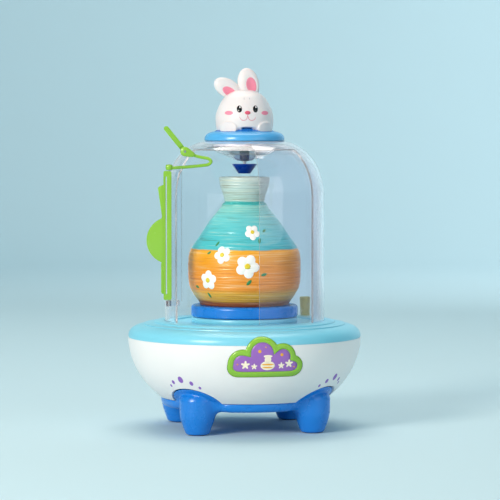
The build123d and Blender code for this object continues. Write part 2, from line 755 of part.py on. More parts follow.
sleeve_low, sleeve_high = 240.3, 259.5
rod_r = 1.5
spring_well_z = 243.3
with BuildPart() as plunger_sleeve:
    add(ring(0, sleeve_r, sleeve_low, sleeve_high))
    add(ring(sleeve_r - 0.5, 6.5, dome_top, sleeve_high))
    add(ring(0, 3.4, spring_well_z, sleeve_high + 1), mode=Mode.SUBTRACT)
    add(ring(0, rod_r + 0.08, sleeve_low - 1, spring_well_z + 1), mode=Mode.SUBTRACT)
save(plunger_sleeve.part, "plunger_sleeve")

with BuildPart() as clear_funnel:
    with BuildSketch(Plane.XZ):
        with BuildLine():
            Polyline(
                (sleeve_r, 240.6), (7.0, 240.6), (34.0, 251.9), (36.0, 252.1), (36.0, 253.2), (33.4, 253.2),
                (20.0, 247.6), (20.0, collar_low), (18.5, collar_low), (18.5, 247.0), (6.6, 242.1),
                (sleeve_r, 242.1), close=True,
            )
        make_face()
    revolve(axis=Axis.Z)
save(clear_funnel.part, "clear_funnel")

cap_r, well_r = 36.0, 27.5
ledge_z = dome_top + 0.9
cap_screw_r = 22.0
with BuildPart() as cap_ring:
    with BuildSketch(Plane.XZ):
        with BuildLine():
            Line((20.0, dome_top), (cap_r - 1.0, dome_top))
            ThreePointArc((cap_r - 1.0, dome_top), (cap_r - 0.3, dome_top + 0.3), (cap_r, dome_top + 1.0))
            Spline(
                (cap_r, dome_top + 1.0), (cap_r - 1.2, dome_top + 5.0), (well_r + 0.6, dome_top + 8.4),
                tangents=((0, 1), (-1, 0.25)),
            )
            Polyline(
                (well_r + 0.6, dome_top + 8.4), (well_r, dome_top + 7.9), (well_r, ledge_z), (20.0, ledge_z),
                (20.0, dome_top),
            )
        make_face()
    revolve(axis=Axis.Z)
    with BuildSketch(Plane.XY.offset(dome_top - 1)):
        with PolarLocations(cap_screw_r, 3):
            Circle(1.0)
    extrude(amount=3, mode=Mode.SUBTRACT)
save(cap_ring.part, "cap_ring")

with BuildPart() as cap_screws:
    with BuildSketch(Plane.XY.offset(dome_top)):
        with PolarLocations(cap_screw_r, 3):
            Circle(1.0)
    extrude(amount=ledge_z - dome_top)
    with BuildSketch(Plane.XY.offset(ledge_z)):
        with PolarLocations(cap_screw_r, 3):
            Circle(1.9)
    extrude(amount=0.6)
save(cap_screws.part, "cap_screws")

# ---- press button, rod, cone, spring --------------------------------------------------------
button_r = 27.0
button_rim_z, button_top = 266.9, 272.7
press_travel = 6.0
hub_low = 266.0

button_rise = button_top - button_rim_z
button_curve_r = (button_r**2 + button_rise**2) / (2 * button_rise)
button_edge_angle = degrees(acos(button_r / button_curve_r))

with BuildPart() as press_button:
    with BuildSketch(Plane.XZ):
        with BuildLine():
            crown = CenterArc((0, button_top - button_curve_r), button_curve_r, button_edge_angle, 90 - button_edge_angle)
            Polyline(
                crown @ 1, (0, hub_low), (sleeve_r, hub_low), (sleeve_r, 268.8), (16.0, 268.3),
                (24.4, 266.8), (24.8, 265.6), (button_r, 265.6), crown @ 0,
            )
        make_face()
    revolve(axis=Axis.Z)
    add(ring(0, rod_r, hub_low - 1, 270.0), mode=Mode.SUBTRACT)
save(press_button.part, "press_button")

cone_low, cone_high = 229.0, 237.6
with BuildPart() as plunger_rod:
    add(ring(0, rod_r, cone_low + 2.0, 270.0))
save(plunger_rod.part, "plunger_rod")

with BuildPart() as press_cone:
    with BuildSketch(Plane.XZ):
        with BuildLine():
            Polyline(
                (rod_r, cone_high), (10.6, cone_high), (11.2, cone_high - 0.6), (5.3, cone_low), (0, cone_low),
                (0, cone_low + 2.0), (rod_r, cone_low + 2.0), close=True,
            )
        make_face()
    revolve(axis=Axis.Z)
save(press_cone.part, "press_cone")

with BuildPart() as rod_clip:
    add(ring(rod_r, 2.6, 239.2, 239.9))
save(rod_clip.part, "rod_clip")

spring_r, wire_r = 2.5, 0.35
with BuildPart() as return_spring:
    with BuildLine():
        Helix(pitch=2.2, height=hub_low - spring_well_z - 2 * wire_r - 0.1, radius=spring_r,
              center=(0, 0, spring_well_z + wire_r + 0.05))
    with BuildSketch(Plane((spring_r, 0, spring_well_z + wire_r + 0.05), x_dir=(1, 0, 0), z_dir=(0, 1, 0.14))):
        Circle(wire_r)
    sweep()
save(return_spring.part, "return_spring")

# ---- rabbit on the button -------------------------------------------------------------------
ears = [(-15.5, 304.6, 64.0), (4.0, 309.6, 12.0)]     # middle's x and height, lean to the left

with BuildPart() as rabbit_head:
    with BuildSketch(Plane.XZ):
        with BuildLine():
            Line((0, 262.0), (25.0, 262.0))
            Spline(
                (25.0, 262.0), (26.3, 277.0), (23.0, 292.0), (12.5, 302.2), (0, 304.4), tangents=((0, 1), (-1, 0))
            )
            Line((0, 304.4), (0, 262.0))
        make_face()
    revolve(axis=Axis.Z)
    for side in (-1, 1):
        with Locations((side * 13.0, -17.6, 269.6)):
            Sphere(4.5)
    add(press_button.part, mode=Mode.SUBTRACT)
    add(plunger_rod.part, mode=Mode.SUBTRACT)
    with BuildSketch(Plane.XY.offset(200)):
        Circle(60)
    extrude(amount=button_rim_z - 200, mode=Mode.SUBTRACT)
save(rabbit_head.part, "rabbit_head")

with BuildPart() as rabbit_ears:
    for x, z, lean in ears:
        ear_plane = Plane((x, 0, z), x_dir=(1, 0, 0), z_dir=(0, -1, 0))
        with BuildSketch(ear_plane.offset(-4.0)):
            Ellipse(9.2, 14.2, rotation=lean)
        extrude(amount=8.0)
    fillet(rabbit_ears.edges(), 3.2)
    add(rabbit_head.part, mode=Mode.SUBTRACT)
save(rabbit_ears.part, "rabbit_ears")

# ---- template arm, loop, lever --------------------------------------------------------------
with BuildPart() as arm_pin:
    with BuildSketch(dome_xy.offset(lug_low)):
        with Locations(arm_spot):
            Circle(arm_pin_r)
    extrude(amount=238.0 - lug_low)
save(arm_pin.part, "arm_pin")

rail_left, rail_right = -71.5, -64.4
slot_left, slot_right = -69.5, -68.4
arm_thick = 3.4
with BuildPart() as arm_frame:
    with BuildSketch(dome_xz.offset(arm_v - arm_thick / 2)):
        with Locations(((rail_left + rail_right) / 2, (arm_low + arm_high) / 2)):
            RectangleRounded(rail_right - rail_left, arm_high - arm_low, 1.6)
        with Locations(((slot_left + slot_right) / 2, (arm_low + arm_high) / 2)):
            SlotOverall(arm_high - arm_low - 10, slot_right - slot_left, rotation=90, mode=Mode.SUBTRACT)
    extrude(amount=arm_thick)
    with BuildSketch(dome_xy.offset(arm_low - 1)):
        with Locations(arm_spot):
            Circle(arm_pin_r + fit)
    extrude(amount=arm_high - arm_low + 2, mode=Mode.SUBTRACT)
save(arm_frame.part, "arm_frame")

with BuildPart() as profile_template:
    with BuildSketch(dome_xz.offset(arm_v - 1.0)):
        with BuildLine():
            Polyline((rail_left, 219.8), (-75.2, 218.4), (-76.4, 217.0), (-72.8, 192.0), (-73.4, 190.0))
            ThreePointArc((-73.4, 190.0), (-86.5, 170.7), (-73.4, 151.4))
            Polyline((-73.4, 151.4), (-73.7, 150.0), (-73.7, 125.0), (-73.0, 123.5), (rail_left, 123.5))
            Line((rail_left, 123.5), (rail_left, 219.8))
        make_face()
    extrude(amount=2.0)
save(profile_template.part, "profile_template")

loop_v, loop_wide = 36.0, 4.0
knuckle = (-52.5, 249.0)
lever_pin_r = 1.0
with BuildPart() as guide_loop:
    with BuildSketch(dome_xy.offset(arm_high + 0.5)):
        with BuildLine():
            Line(arm_spot, (-57.2, -35.9))
        trace(line_width=6.0)
        with Locations(arm_spot):
            Circle(3.0)
            Circle(arm_pin_r, mode=Mode.SUBTRACT)
    extrude(amount=4.6)
    with BuildSketch(dome_xz.offset(loop_v)):
        with BuildLine():
            Line((-60.5, 234.4), (-34.0, 236.2))
            ThreePointArc((-34.0, 236.2), (-30.4, 240.0), (-34.0, 243.8))
            Line((-34.0, 243.8), (-47.5, 245.6))
        trace(line_width=2.8)
    extrude(amount=loop_wide)
    with BuildSketch(dome_xz.offset(loop_v - 1.5)):
        with Locations(knuckle):
            Circle(4.2)
        with Locations((knuckle[0] + 4.0, knuckle[1] - 1.6)):
            Rectangle(8.0, 5.2)
    extrude(amount=loop_wide + 3.0)
    with BuildSketch(dome_xz.offset(loop_v + 0.5)):
        with Locations(knuckle):
            Circle(4.6)
    extrude(amount=loop_wide - 1.0, mode=Mode.SUBTRACT)
    with BuildSketch(dome_xz.offset(loop_v - 3)):
        with Locations(knuckle):
            Circle(lever_pin_r)
    extrude(amount=loop_wide + 6, mode=Mode.SUBTRACT)
    add(clear_dome.part, mode=Mode.SUBTRACT)
save(guide_loop.part, "guide_loop")

with BuildPart() as lever_pin:
    with BuildSketch(dome_xz.offset(loop_v - 1.7)):
        with Locations(knuckle):
            Circle(lever_pin_r)
    extrude(amount=loop_wide + 3.4)
save(lever_pin.part, "lever_pin")

lever_tip = (-69.0, 269.3)
with BuildPart() as finger_lever:
    lever_x, lever_z = lever_tip[0] - knuckle[0], lever_tip[1] - knuckle[1]
    lever_length = sqrt(lever_x**2 + lever_z**2)
    along = (lever_x / lever_length, lever_z / lever_length)
    with BuildSketch(dome_xz.offset(loop_v + 0.8)):
        with BuildLine():
            Line(knuckle, (knuckle[0] + 9 * along[0], knuckle[1] + 9 * along[1]))
        trace(line_width=4.2)
        with Locations(knuckle):
            Circle(3.4)
            Circle(lever_pin_r + fit, mode=Mode.SUBTRACT)
    extrude(amount=loop_wide - 1.6)
    with BuildSketch(dome_xz.offset(loop_v)):
        with BuildLine():
            Line((knuckle[0] + 5.6 * along[0], knuckle[1] + 5.6 * along[1]), lever_tip)
        trace(line_width=4.4)
        with Locations(lever_tip):
            Circle(2.2)
    extrude(amount=loop_wide)
save(finger_lever.part, "finger_lever")

# ---- water cup ------------------------------------------------------------------------------
cup_plane = Plane((*cup_spot, 0))
cup_low = cup_seat_z + 0.2
with BuildPart() as water_cup:
    with BuildSketch(cup_plane.offset(cup_low)):
        Circle(cup_low_r)
    with BuildSketch(cup_plane.offset(cup_low + cup_height)):
        Circle(cup_top_r)
    loft()
    with BuildSketch(cup_plane.offset(cup_low + 1.2)):
        Circle(cup_low_r - 1.0)
    with BuildSketch(cup_plane.offset(cup_low + cup_height)):
        Circle(cup_top_r - 1.0)
    loft(mode=Mode.SUBTRACT)
save(water_cup.part, "water_cup")
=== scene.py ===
# %% [markdown]
# # A toy pottery wheel, finished in Blender
# The engineering model already says where every part is and how it moves. This lesson gives each
# part its surface, and remodels the ones whose real shape is soft or hand made: the feet, the clay
# pot, the rabbit on the lid, the badge, and the green plastic arm. Everything is in metres.

# %% Load the fixed frame
import math
import random

import bpy
import numpy as np
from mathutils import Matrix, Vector
from mathutils.bvhtree import BVHTree


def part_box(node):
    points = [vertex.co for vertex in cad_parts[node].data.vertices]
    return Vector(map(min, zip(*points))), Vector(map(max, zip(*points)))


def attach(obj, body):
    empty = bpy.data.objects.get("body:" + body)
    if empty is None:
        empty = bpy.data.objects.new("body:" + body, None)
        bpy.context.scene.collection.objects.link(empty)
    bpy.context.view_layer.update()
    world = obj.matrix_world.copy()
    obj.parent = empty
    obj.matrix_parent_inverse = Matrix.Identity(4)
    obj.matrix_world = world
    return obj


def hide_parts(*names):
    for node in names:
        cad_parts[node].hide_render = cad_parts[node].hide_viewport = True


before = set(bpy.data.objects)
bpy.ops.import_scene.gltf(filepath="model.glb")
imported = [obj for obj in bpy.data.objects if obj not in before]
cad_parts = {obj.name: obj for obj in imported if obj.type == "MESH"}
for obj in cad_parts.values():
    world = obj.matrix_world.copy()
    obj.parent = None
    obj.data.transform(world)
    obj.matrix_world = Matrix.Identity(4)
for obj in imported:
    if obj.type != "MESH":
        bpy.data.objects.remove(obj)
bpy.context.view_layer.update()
MM = 0.001
print("parts in the frame:", len(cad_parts))

# %% [markdown]
# The camera comes first, because every later choice is judged through it. A long lens a little
# over two metres away keeps the round base from looking swollen.

# %% Camera
camera_data = bpy.data.cameras.new("camera")
camera_data.lens = 180
camera_data.sensor_width = 36
camera = bpy.data.objects.new("camera", camera_data)
camera.location = (-0.410, -2.212, 0.271)
aim = Vector((0.0049, -0.0009, 0.160))
camera.rotation_euler = (aim - camera.location).to_track_quat("-Z", "Y").to_euler()
bpy.context.scene.collection.objects.link(camera)
bpy.context.scene.camera = camera
print("camera to aim point:", round((aim - camera.location).length, 3), "m")

# %% [markdown]
# Colours are picked as the sRGB hex values a paint program shows, but the renderer works in linear
# light, so one function converts them. One more adds a node, sets its properties, and fills or
# links its inputs, which keeps every material below readable.

# %% Colour and node helpers
def linear(hex_colour, alpha=1.0):
    """An sRGB hex string as a linear RGBA tuple."""
    parts = [int(hex_colour[i:i + 2], 16) / 255 for i in (0, 2, 4)]
    return tuple(c / 12.92 if c <= 0.04045 else ((c + 0.055) / 1.055) ** 2.4 for c in parts) + (alpha,)


def node(material, kind, inputs=None, **settings):
    """Adds a node. An input's value is a number or colour, or the socket it links from."""
    made = material.node_tree.nodes.new(kind)
    for key, value in settings.items():
        setattr(made, key, value)
    for key, value in (inputs or {}).items():
        if isinstance(value, bpy.types.NodeSocket):
            material.node_tree.links.new(value, made.inputs[key])
        else:
            made.inputs[key].default_value = value
    return made


def new_material(name):
    """An empty node material, and the object's own coordinates to place patterns by."""
    made = bpy.data.materials.new(name)
    made.use_nodes = True
    made.node_tree.nodes.clear()
    place = node(made, "ShaderNodeTexCoord").outputs["Object"]
    return made, place


def per_mm(size):
    """The scale of a pattern whose features are this many millimetres across."""
    return 1 / (size * MM)


# %% [markdown]
# Most of the toy is injection-moulded ABS. Its colour is in the plastic, so it is even, with only a
# faint mottling where the melt flowed. The steel mould leaves a very fine texture that breaks up
# highlights, and no moulded edge is truly sharp, so a small bevel is shaded onto each one.
# The texture is drawn coarser than the real hundredth of a millimetre, so that it shows.

# %% Moulded plastic
def moulded(name, colour, shade, roughness=0.3, edge_mm=0.4, grain_mm=0.9, relief=0.06, **extra):
    """Injection-moulded plastic between two close colours."""
    made, place = new_material(name)
    flow = node(made, "ShaderNodeTexNoise", {"Vector": place, "Scale": per_mm(38), "Detail": 3.0})
    tone = node(made, "ShaderNodeMix", {0: flow.outputs[0],
                                        6: linear(colour), 7: linear(shade)}, data_type="RGBA")
    grain = node(made, "ShaderNodeTexNoise", {"Vector": place, "Scale": per_mm(grain_mm), "Detail": 4.0})
    handled = node(made, "ShaderNodeTexNoise", {"Vector": place, "Scale": per_mm(14), "Detail": 5.0})
    gloss = node(made, "ShaderNodeMapRange", {"Value": handled.outputs[0], "From Min": 0.3, "From Max": 0.75,
                                              "To Min": roughness - 0.02, "To Max": roughness + 0.02})
    soft_edge = node(made, "ShaderNodeBevel", {"Radius": edge_mm * MM}, samples=4)
    bump = node(made, "ShaderNodeBump", {"Height": grain.outputs[0], "Strength": relief,
                                         "Distance": 0.05 * MM, "Normal": soft_edge.outputs[0]})
    shader = node(made, "ShaderNodeBsdfPrincipled", {
        "Base Color": tone.outputs[2], "Roughness": gloss.outputs[0], "Normal": bump.outputs[0],
        "IOR": 1.53, **extra})
    node(made, "ShaderNodeOutputMaterial", {"Surface": shader.outputs[0]})
    return made


blue_abs = moulded("blue_abs_moulded", "0E7FDB", "0B74CE", 0.27)
cap_abs = moulded("light_blue_abs_moulded", "55ACE4", "4BA2DC", 0.25)
sky_abs = moulded("sky_blue_abs_moulded", "82CFE4", "77C8DF", 0.3)
white_abs = moulded("white_abs_moulded", "EFECEB", "E8E6E6", 0.34,
                    **{"Subsurface Weight": 0.12, "Subsurface Radius": (0.004, 0.003, 0.003)})
green_abs = moulded("green_abs_moulded", "8FC23C", "84B834", 0.26,
                    **{"Subsurface Weight": 0.15, "Subsurface Radius": (0.002, 0.003, 0.001)})
cone_abs = moulded("deep_blue_abs_moulded", "053A9A", "043389", 0.28)
black_abs = moulded("black_abs_moulded", "1B1C1E", "141516", 0.5)
acetal = moulded("natural_acetal_moulded", "EDEBDF", "E4E2D4", 0.38)
print("moulded plastics:", [m.name for m in (blue_abs, sky_abs, white_abs, green_abs, cone_abs)])

# %% [markdown]
# The dome, its sliding door and the funnel are clear polystyrene. It bends light like glass, and
# real clear walls throw almost no shadow, so lamps are let straight through. Seen edge on, a
# moulded wall is never invisible: dust, release marks and its own thickness turn it milky, so its
# transmission falls as the surface turns away from the eye.

# %% Clear plastic
def clear(name, tint, shadow_tint, roughness, haze, milky=0.6, turn_from=0.45, ior=1.5):
    """Polished see-through plastic, a little marked by hands, and milky where it turns away."""
    made, place = new_material(name)
    marks = node(made, "ShaderNodeTexNoise", {"Vector": place, "Scale": per_mm(22), "Detail": 6.0})
    gloss = node(made, "ShaderNodeMapRange", {"Value": marks.outputs[0], "From Min": 0.35, "From Max": 0.8,
                                              "To Min": roughness, "To Max": roughness + haze})
    turning = node(made, "ShaderNodeLayerWeight", {"Blend": 0.5})
    through = node(made, "ShaderNodeMapRange", {
        "Value": turning.outputs["Facing"], "From Min": turn_from, "From Max": 1.0, "To Min": 1.0,
        "To Max": 1.0 - milky}, interpolation_type="SMOOTHSTEP")
    body = node(made, "ShaderNodeBsdfPrincipled", {
        "Base Color": linear(tint), "Roughness": gloss.outputs[0], "IOR": ior,
        "Transmission Weight": through.outputs[0]})
    open_to_light = node(made, "ShaderNodeBsdfTransparent", {"Color": linear(shadow_tint)})
    ray = node(made, "ShaderNodeLightPath")
    both = node(made, "ShaderNodeMixShader", {0: ray.outputs["Is Shadow Ray"], 1: body.outputs[0],
                                              2: open_to_light.outputs[0]})
    node(made, "ShaderNodeOutputMaterial", {"Surface": both.outputs[0]})
    return made


dome_clear = clear("clear_polystyrene_dome", "F6F8FC", "F8FBFD", 0.0, 0.02)
door_clear = clear("clear_polystyrene_door", "F3F1F8", "F3F1F7", 0.01, 0.04)
cup_clear = clear("yellow_tinted_polystyrene", "D9C45A", "EADB96", 0.08, 0.08, milky=0.75, turn_from=0.0)
print("clear plastics:", dome_clear.name, door_clear.name, cup_clear.name)

# %% [markdown]
# The parts inside are seldom seen, yet a finished model has them: turned steel, sintered bronze,
# rubber, solder mask and the batteries' sleeves. Turning leaves rings round the axis; the steel
# is bumped with fine noise for its tool marks, and keeps the default IOR as metals do.

# %% Metals, rubber and board
def metal(name, colour, roughness, pitch_mm):
    """Bare metal with fine tool marks."""
    made, place = new_material(name)
    marks = node(made, "ShaderNodeTexNoise", {"Vector": place, "Scale": per_mm(pitch_mm), "Detail": 6.0})
    gloss = node(made, "ShaderNodeMapRange", {"Value": marks.outputs[0], "From Min": 0.3, "From Max": 0.7,
                                              "To Min": roughness - 0.06, "To Max": roughness + 0.1})
    bump = node(made, "ShaderNodeBump", {"Height": marks.outputs[0], "Strength": 0.12, "Distance": 0.03 * MM})
    shader = node(made, "ShaderNodeBsdfPrincipled", {
        "Base Color": linear(colour), "Metallic": 1.0, "Roughness": gloss.outputs[0], "Normal": bump.outputs[0]})
    node(made, "ShaderNodeOutputMaterial", {"Surface": shader.outputs[0]})
    return made


steel = metal("turned_steel", "B9BBBF", 0.28, 0.6)
bronze = metal("sintered_bronze", "B98D57", 0.42, 0.4)
cell_sleeve = moulded("battery_shrink_sleeve", "2A2F36", "22262C", 0.22)
solder_mask = moulded("green_solder_mask", "12522F", "0E4527", 0.3)
rubber = moulded("moulded_rubber", "26272A", "1E1F21", 0.6, relief=0.2)
wire_skin = moulded("red_wire_insulation", "B2201B", "9E1A16", 0.4)

# %% Surfaces for the parts that keep their shape
finishes = {
    blue_abs: ["base_tray", "battery_door", "press_button", "switch_bezel", "turntable"],
    cap_abs: ["cap_ring"],
    sky_abs: ["deck_cover"],
    white_abs: ["lower_bowl", "collar", "rabbit_head", "rabbit_ears", "clay_pot", "badge_plate"],
    green_abs: ["badge_frame", "power_rocker", "arm_frame", "profile_template", "guide_loop", "finger_lever"],
    cone_abs: ["press_cone"],
    black_abs: ["motor_end_cap", "motor_clamp", "lower_plate", "upper_plate", "plate_posts", "battery_box",
                "board_parts", "switch_module", "plunger_sleeve"],
    acetal: ["main_gear", "idler_gear", "thrust_washer"],
    dome_clear: ["clear_dome", "clear_funnel"],
    door_clear: ["curved_door"],
    cup_clear: ["water_cup"],
    steel: ["idler_axle", "motor_rotor", "motor_can", "plate_screws", "spindle", "spindle_clip", "door_screw",
            "battery_contacts", "cap_screws", "plunger_rod", "rod_clip", "return_spring", "arm_pin", "lever_pin"],
    bronze: ["motor_pinion", "spindle_bushes"],
    rubber: ["foot_pads", "lip_seal"],
    cell_sleeve: ["battery_cells"],
    solder_mask: ["circuit_board"],
    wire_skin: ["motor_leads"],
}
for finish, names in finishes.items():
    for name in names:
        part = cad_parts[name]
        part.data.materials.clear()
        part.data.materials.append(finish)
print("surfaced", sum(len(names) for names in finishes.values()), "parts")

# %% [markdown]
# ## Shapes made here
# Several pieces below are laid onto a surface, such as the flowers on the pot. For that, the shown
# mesh is turned into a tree that rays can be cast against. Every new piece goes through one
# function that makes the object, smooths its shading, gives it its finish and ties it to its body.

# %% Making and laying pieces
def piece(name, points, faces, finish, body, slot, stands_for=()):
    """A smooth-shaded mesh in the shared frame, riding on a body."""
    mesh = bpy.data.meshes.new(name)
    mesh.from_pydata([tuple(p) for p in points], [], faces)
    mesh.validate()
    mesh.shade_smooth()
    mesh.materials.append(finish)
    made = bpy.data.objects.new(name, mesh)
    bpy.context.scene.collection.objects.link(made)
    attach(made, body)
    if stands_for:
        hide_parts(*stands_for)
    print(f"{name}: {len(mesh.polygons)} faces")
    return made


def cast_tree(thing):
    """A ray-castable copy of an object's final mesh."""
    final = thing.evaluated_get(bpy.context.evaluated_depsgraph_get()).to_mesh()
    corners = [v.co.copy() for v in final.vertices]
    polygons = [tuple(f.vertices) for f in final.polygons]
    return BVHTree.FromPolygons(corners, polygons)


def facing_out(angle):
    """Level direction at an angle from the front, positive towards the right."""
    return Vector((math.sin(math.radians(angle)), -math.cos(math.radians(angle)), 0))


def joined(parts):
    """Several (points, faces) as one."""
    points, faces = [], []
    for some_points, some_faces in parts:
        start = len(points)
        points += some_points
        faces += [tuple(i + start for i in face) for face in some_faces]
    return points, faces


def bridge(ring_a, ring_b, steps, order=1):
    """Quads between two rings of points, given by their first indices. Order -1 turns them inside out."""
    return [(ring_a + i, ring_a + (i + 1) % steps, ring_b + (i + 1) % steps, ring_b + i)[::order]
            for i in range(steps)]


def skin(rows, steps, first=0, order=1, closed=False):
    """Quads up a stack of rings, which closes on itself when asked."""
    return [quad for k in range(rows if closed else rows - 1)
            for quad in bridge(first + k * steps, first + (k + 1) % rows * steps, steps, order)]


def fan(tip, ring, steps, order=1):
    """Triangles from one point to a ring."""
    return [(tip, ring + i, ring + (i + 1) % steps)[::order] for i in range(steps)]


def laid(tree, spot, outward, reach, rise, steps=40, rings=6, sink=0.15):
    """A closed, raised shape on a surface.

    reach(angle) is its outline and rise(share, angle) its height, in mm.
    """
    right = Vector((0, 0, 1)).cross(outward).normalized()
    up = outward.cross(right)
    rows = []
    for k in range(rings + 1):
        share = math.sin(0.5 * math.pi * k / rings)
        row = []
        for i in range(steps if k else 1):
            angle = 2 * math.pi * i / steps
            far = reach(angle) * share * MM
            start = spot + right * (math.cos(angle) * far) + up * (math.sin(angle) * far) + outward * 0.02
            hit, normal = tree.ray_cast(start, -outward, 0.06)[:2]
            if hit is None:
                hit, normal = start - outward * 0.02, outward
            if normal.dot(outward) < 0:
                normal = -normal
            row.append((hit, normal, rise(share, angle) * MM))
        rows.append(row)
    points = [hit + normal * high for row in rows for hit, normal, high in row]
    points += [hit - normal * sink * MM for hit, normal, high in rows[-1]]
    centre_hit, centre_normal, _ = rows[0][0]
    points.append(centre_hit - centre_normal * sink * MM)
    faces = fan(0, 1, steps) + skin(rings + 1, steps, 1, -1)
    return points, faces + fan(len(points) - 1, 1 + rings * steps, steps, -1)


def oval(wide, high, lean=0.0):
    """Outline of an oval, leaning to the left by some degrees."""
    def reach(angle):
        a = angle - math.radians(lean)
        return 0.5 / math.hypot(math.cos(a) / wide, math.sin(a) / high)
    return reach


def domed(high):
    """A pillow's height, steep at the rim."""
    return lambda share, angle: high * math.sqrt(max(0.0, 1 - share**2.6))


def printed(share, angle):
    """The thickness of a pad-printed ink film, drawn thick enough to stay clear of its ground."""
    return 0.05


# %% [markdown]
# Soft shapes start as closed solids: a lathe shape, an egg, and a smooth curve through points.

# %% Rounded solids
def turned(outline, middle=(0.0, 0.0, 0.0), steps=64):
    """A closed lathe solid from (radius, height) pairs in mm, both ends on the axis."""
    rows = [[(r * math.cos(2 * math.pi * i / steps) * MM + middle[0],
              r * math.sin(2 * math.pi * i / steps) * MM + middle[1], z * MM + middle[2])
             for i in range(steps)] for r, z in outline[1:-1]]
    points = [p for row in rows for p in row]
    faces = skin(len(rows), steps)
    for ring, z, order in ((0, outline[0][1], -1), (len(rows) - 1, outline[-1][1], 1)):
        points.append((middle[0], middle[1], z * MM + middle[2]))
        faces += fan(len(points) - 1, ring * steps, steps, order)
    return points, faces


def egg(middle, radii, steps=40):
    """An ellipsoid, centre and radii in mm."""
    rows = [(math.sin(t), -math.cos(t)) for t in np.linspace(0, math.pi, steps // 2)]
    points, faces = turned([(r, z) for r, z in rows], steps=steps)
    return [tuple(middle[i] * MM + p[i] * radii[i] for i in range(3)) for p in points], faces


def smooth_line(corners, count):
    """Points along a smooth curve through the corners."""
    corners = np.array(corners, float)
    ends = np.vstack([2 * corners[0] - corners[1], corners, 2 * corners[-1] - corners[-2]])
    line = []
    for t in np.linspace(0, len(corners) - 1, count):
        k = min(int(t), len(corners) - 2)
        u, (a, b, c, d) = t - k, ends[k:k + 4]
        line.append(0.5 * (2 * b + (c - a) * u + (2 * a - 5 * b + 4 * c - d) * u**2
                           + (3 * b - a - 3 * c + d) * u**3))
    return np.array(line)


# %% [markdown]
# The tray and its four feet are one blue moulding. Its corners are swept together with large
# radii, which is easier to sculpt than to draft: the engineering mesh is rebuilt as an even grid
# about a millimetre wide, and only the vertices where a foot meets the tray are relaxed until the
# hard line between them melts.

# %% Tray with feet
def relaxed_copy(shape, voxel_mm, weigh, rounds):
    """Even-grid copy of some (points, faces) whose vertices relax by a weight."""
    mesh = bpy.data.meshes.new("rough")
    mesh.from_pydata(shape[0], [], shape[1])
    rough = bpy.data.objects.new("rough", mesh)
    bpy.context.scene.collection.objects.link(rough)
    grid = rough.modifiers.new("grid", "REMESH")
    grid.mode = "VOXEL"
    grid.voxel_size = voxel_mm * MM
    even = bpy.data.meshes.new_from_object(rough.evaluated_get(bpy.context.evaluated_depsgraph_get()))
    bpy.data.objects.remove(rough)
    at = np.array([v.co for v in even.vertices])
    ends = np.array([e.vertices[:] for e in even.edges])
    weight = weigh(at)[:, None]
    count = np.bincount(ends.ravel(), minlength=len(at))[:, None]
    for _ in range(rounds):
        total = np.zeros_like(at)
        for axis in range(3):
            total[:, axis] = (np.bincount(ends[:, 0], at[ends[:, 1], axis], len(at))
                              + np.bincount(ends[:, 1], at[ends[:, 0], axis], len(at)))
        at += weight * 0.5 * (total / count - at)
    return [tuple(p) for p in at], [tuple(f.vertices) for f in even.polygons]


foot_angles = (45, 135, 225, 315)
foot_ring = 0.073
foot_spots = [facing_out(angle) * foot_ring for angle in foot_angles]


def foot_joint(at):
    """1 where a foot meets the tray, falling to 0 on the sole and on the rest of the tray."""
    away = np.min([np.hypot(at[:, 0] - s.x, at[:, 1] - s.y) for s in foot_spots], axis=0)
    near = np.clip((0.030 - away) / 0.008, 0, 1)
    above_sole = np.clip((at[:, 2] - 0.007) / 0.006, 0, 1)
    below_rim = np.clip((0.031 - at[:, 2]) / 0.003, 0, 1)
    return near * above_sole * below_rim


foot_line = [(0, 1.75), (7.6, 1.75), (9.6, 2.6), (11.2, 4.6), (12.4, 8.5), (13.6, 14.0), (15.0, 20.0),
             (16.6, 25.5), (17.0, 30.0), (15.6, 34.0), (11.5, 37.5), (5.0, 39.2), (0, 39.4)]


sole_ring = 0.0742      # from the axis to the middle of a sole
foot_lean = 0.0685      # how far a foot leans in for each metre up


def flared_foot(angle):
    """A foot that widens upward and leans in towards the tray."""
    points, faces = turned(foot_line)
    out = facing_out(angle)
    return [tuple(Vector(p) + out * (sole_ring - foot_lean * p[2])) for p in points], faces


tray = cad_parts["base_tray"].data
tray_shape = [tuple(v.co) for v in tray.vertices], [tuple(f.vertices) for f in tray.polygons]
tray_points, tray_faces = relaxed_copy(joined([tray_shape] + [flared_foot(a) for a in foot_angles]), 1.0,
                                       foot_joint, 60)
foot_tray = piece("foot_tray", tray_points, tray_faces, blue_abs, "base", "blue_abs", ["base_tray"])

# %% [markdown]
# A low ring of the deck's own sky-blue plastic stands under the turntable's rim and leaves half a
# millimetre of air, so that clay and water can't run in to the bearing.

# %% Splash ring under the turntable
ring_line = [(39.6, 95.4), (39.9, 99.7), (40.5, 100.2), (46.6, 100.2), (47.2, 99.7), (47.6, 95.4)]
ring_steps = 128
points = [tuple(facing_out(360 * i / ring_steps) * r * MM + Vector((0, 0, z * MM)))
          for r, z in ring_line for i in range(ring_steps)]
piece("splash_ring", points, skin(len(ring_line), ring_steps, closed=True), sky_abs, "base", "sky_abs")

# %% [markdown]
# The pot is clay thrown on this very wheel, so it is a lathe shape whose wall carries the potter's
# finger rings: grooves two or three millimetres apart, none of them quite level or even. They are
# cut into the mesh, because a bump alone would leave the outline straight.

# %% Pot walls
pot_tree = cast_tree(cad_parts["clay_pot"])
pot_low, pot_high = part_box("clay_pot")
neck_z = [202.6, 206.1, 211.8, 217.6, 222.6, 226.0]     # heights up the flaring neck, in mm
neck_r = [17.9, 18.3, 20.0, 22.0, 22.9, 22.7]           # its outer radius there
neck_wall = 3.2
pot_base, pot_rim = pot_low.z, neck_z[-1] * MM


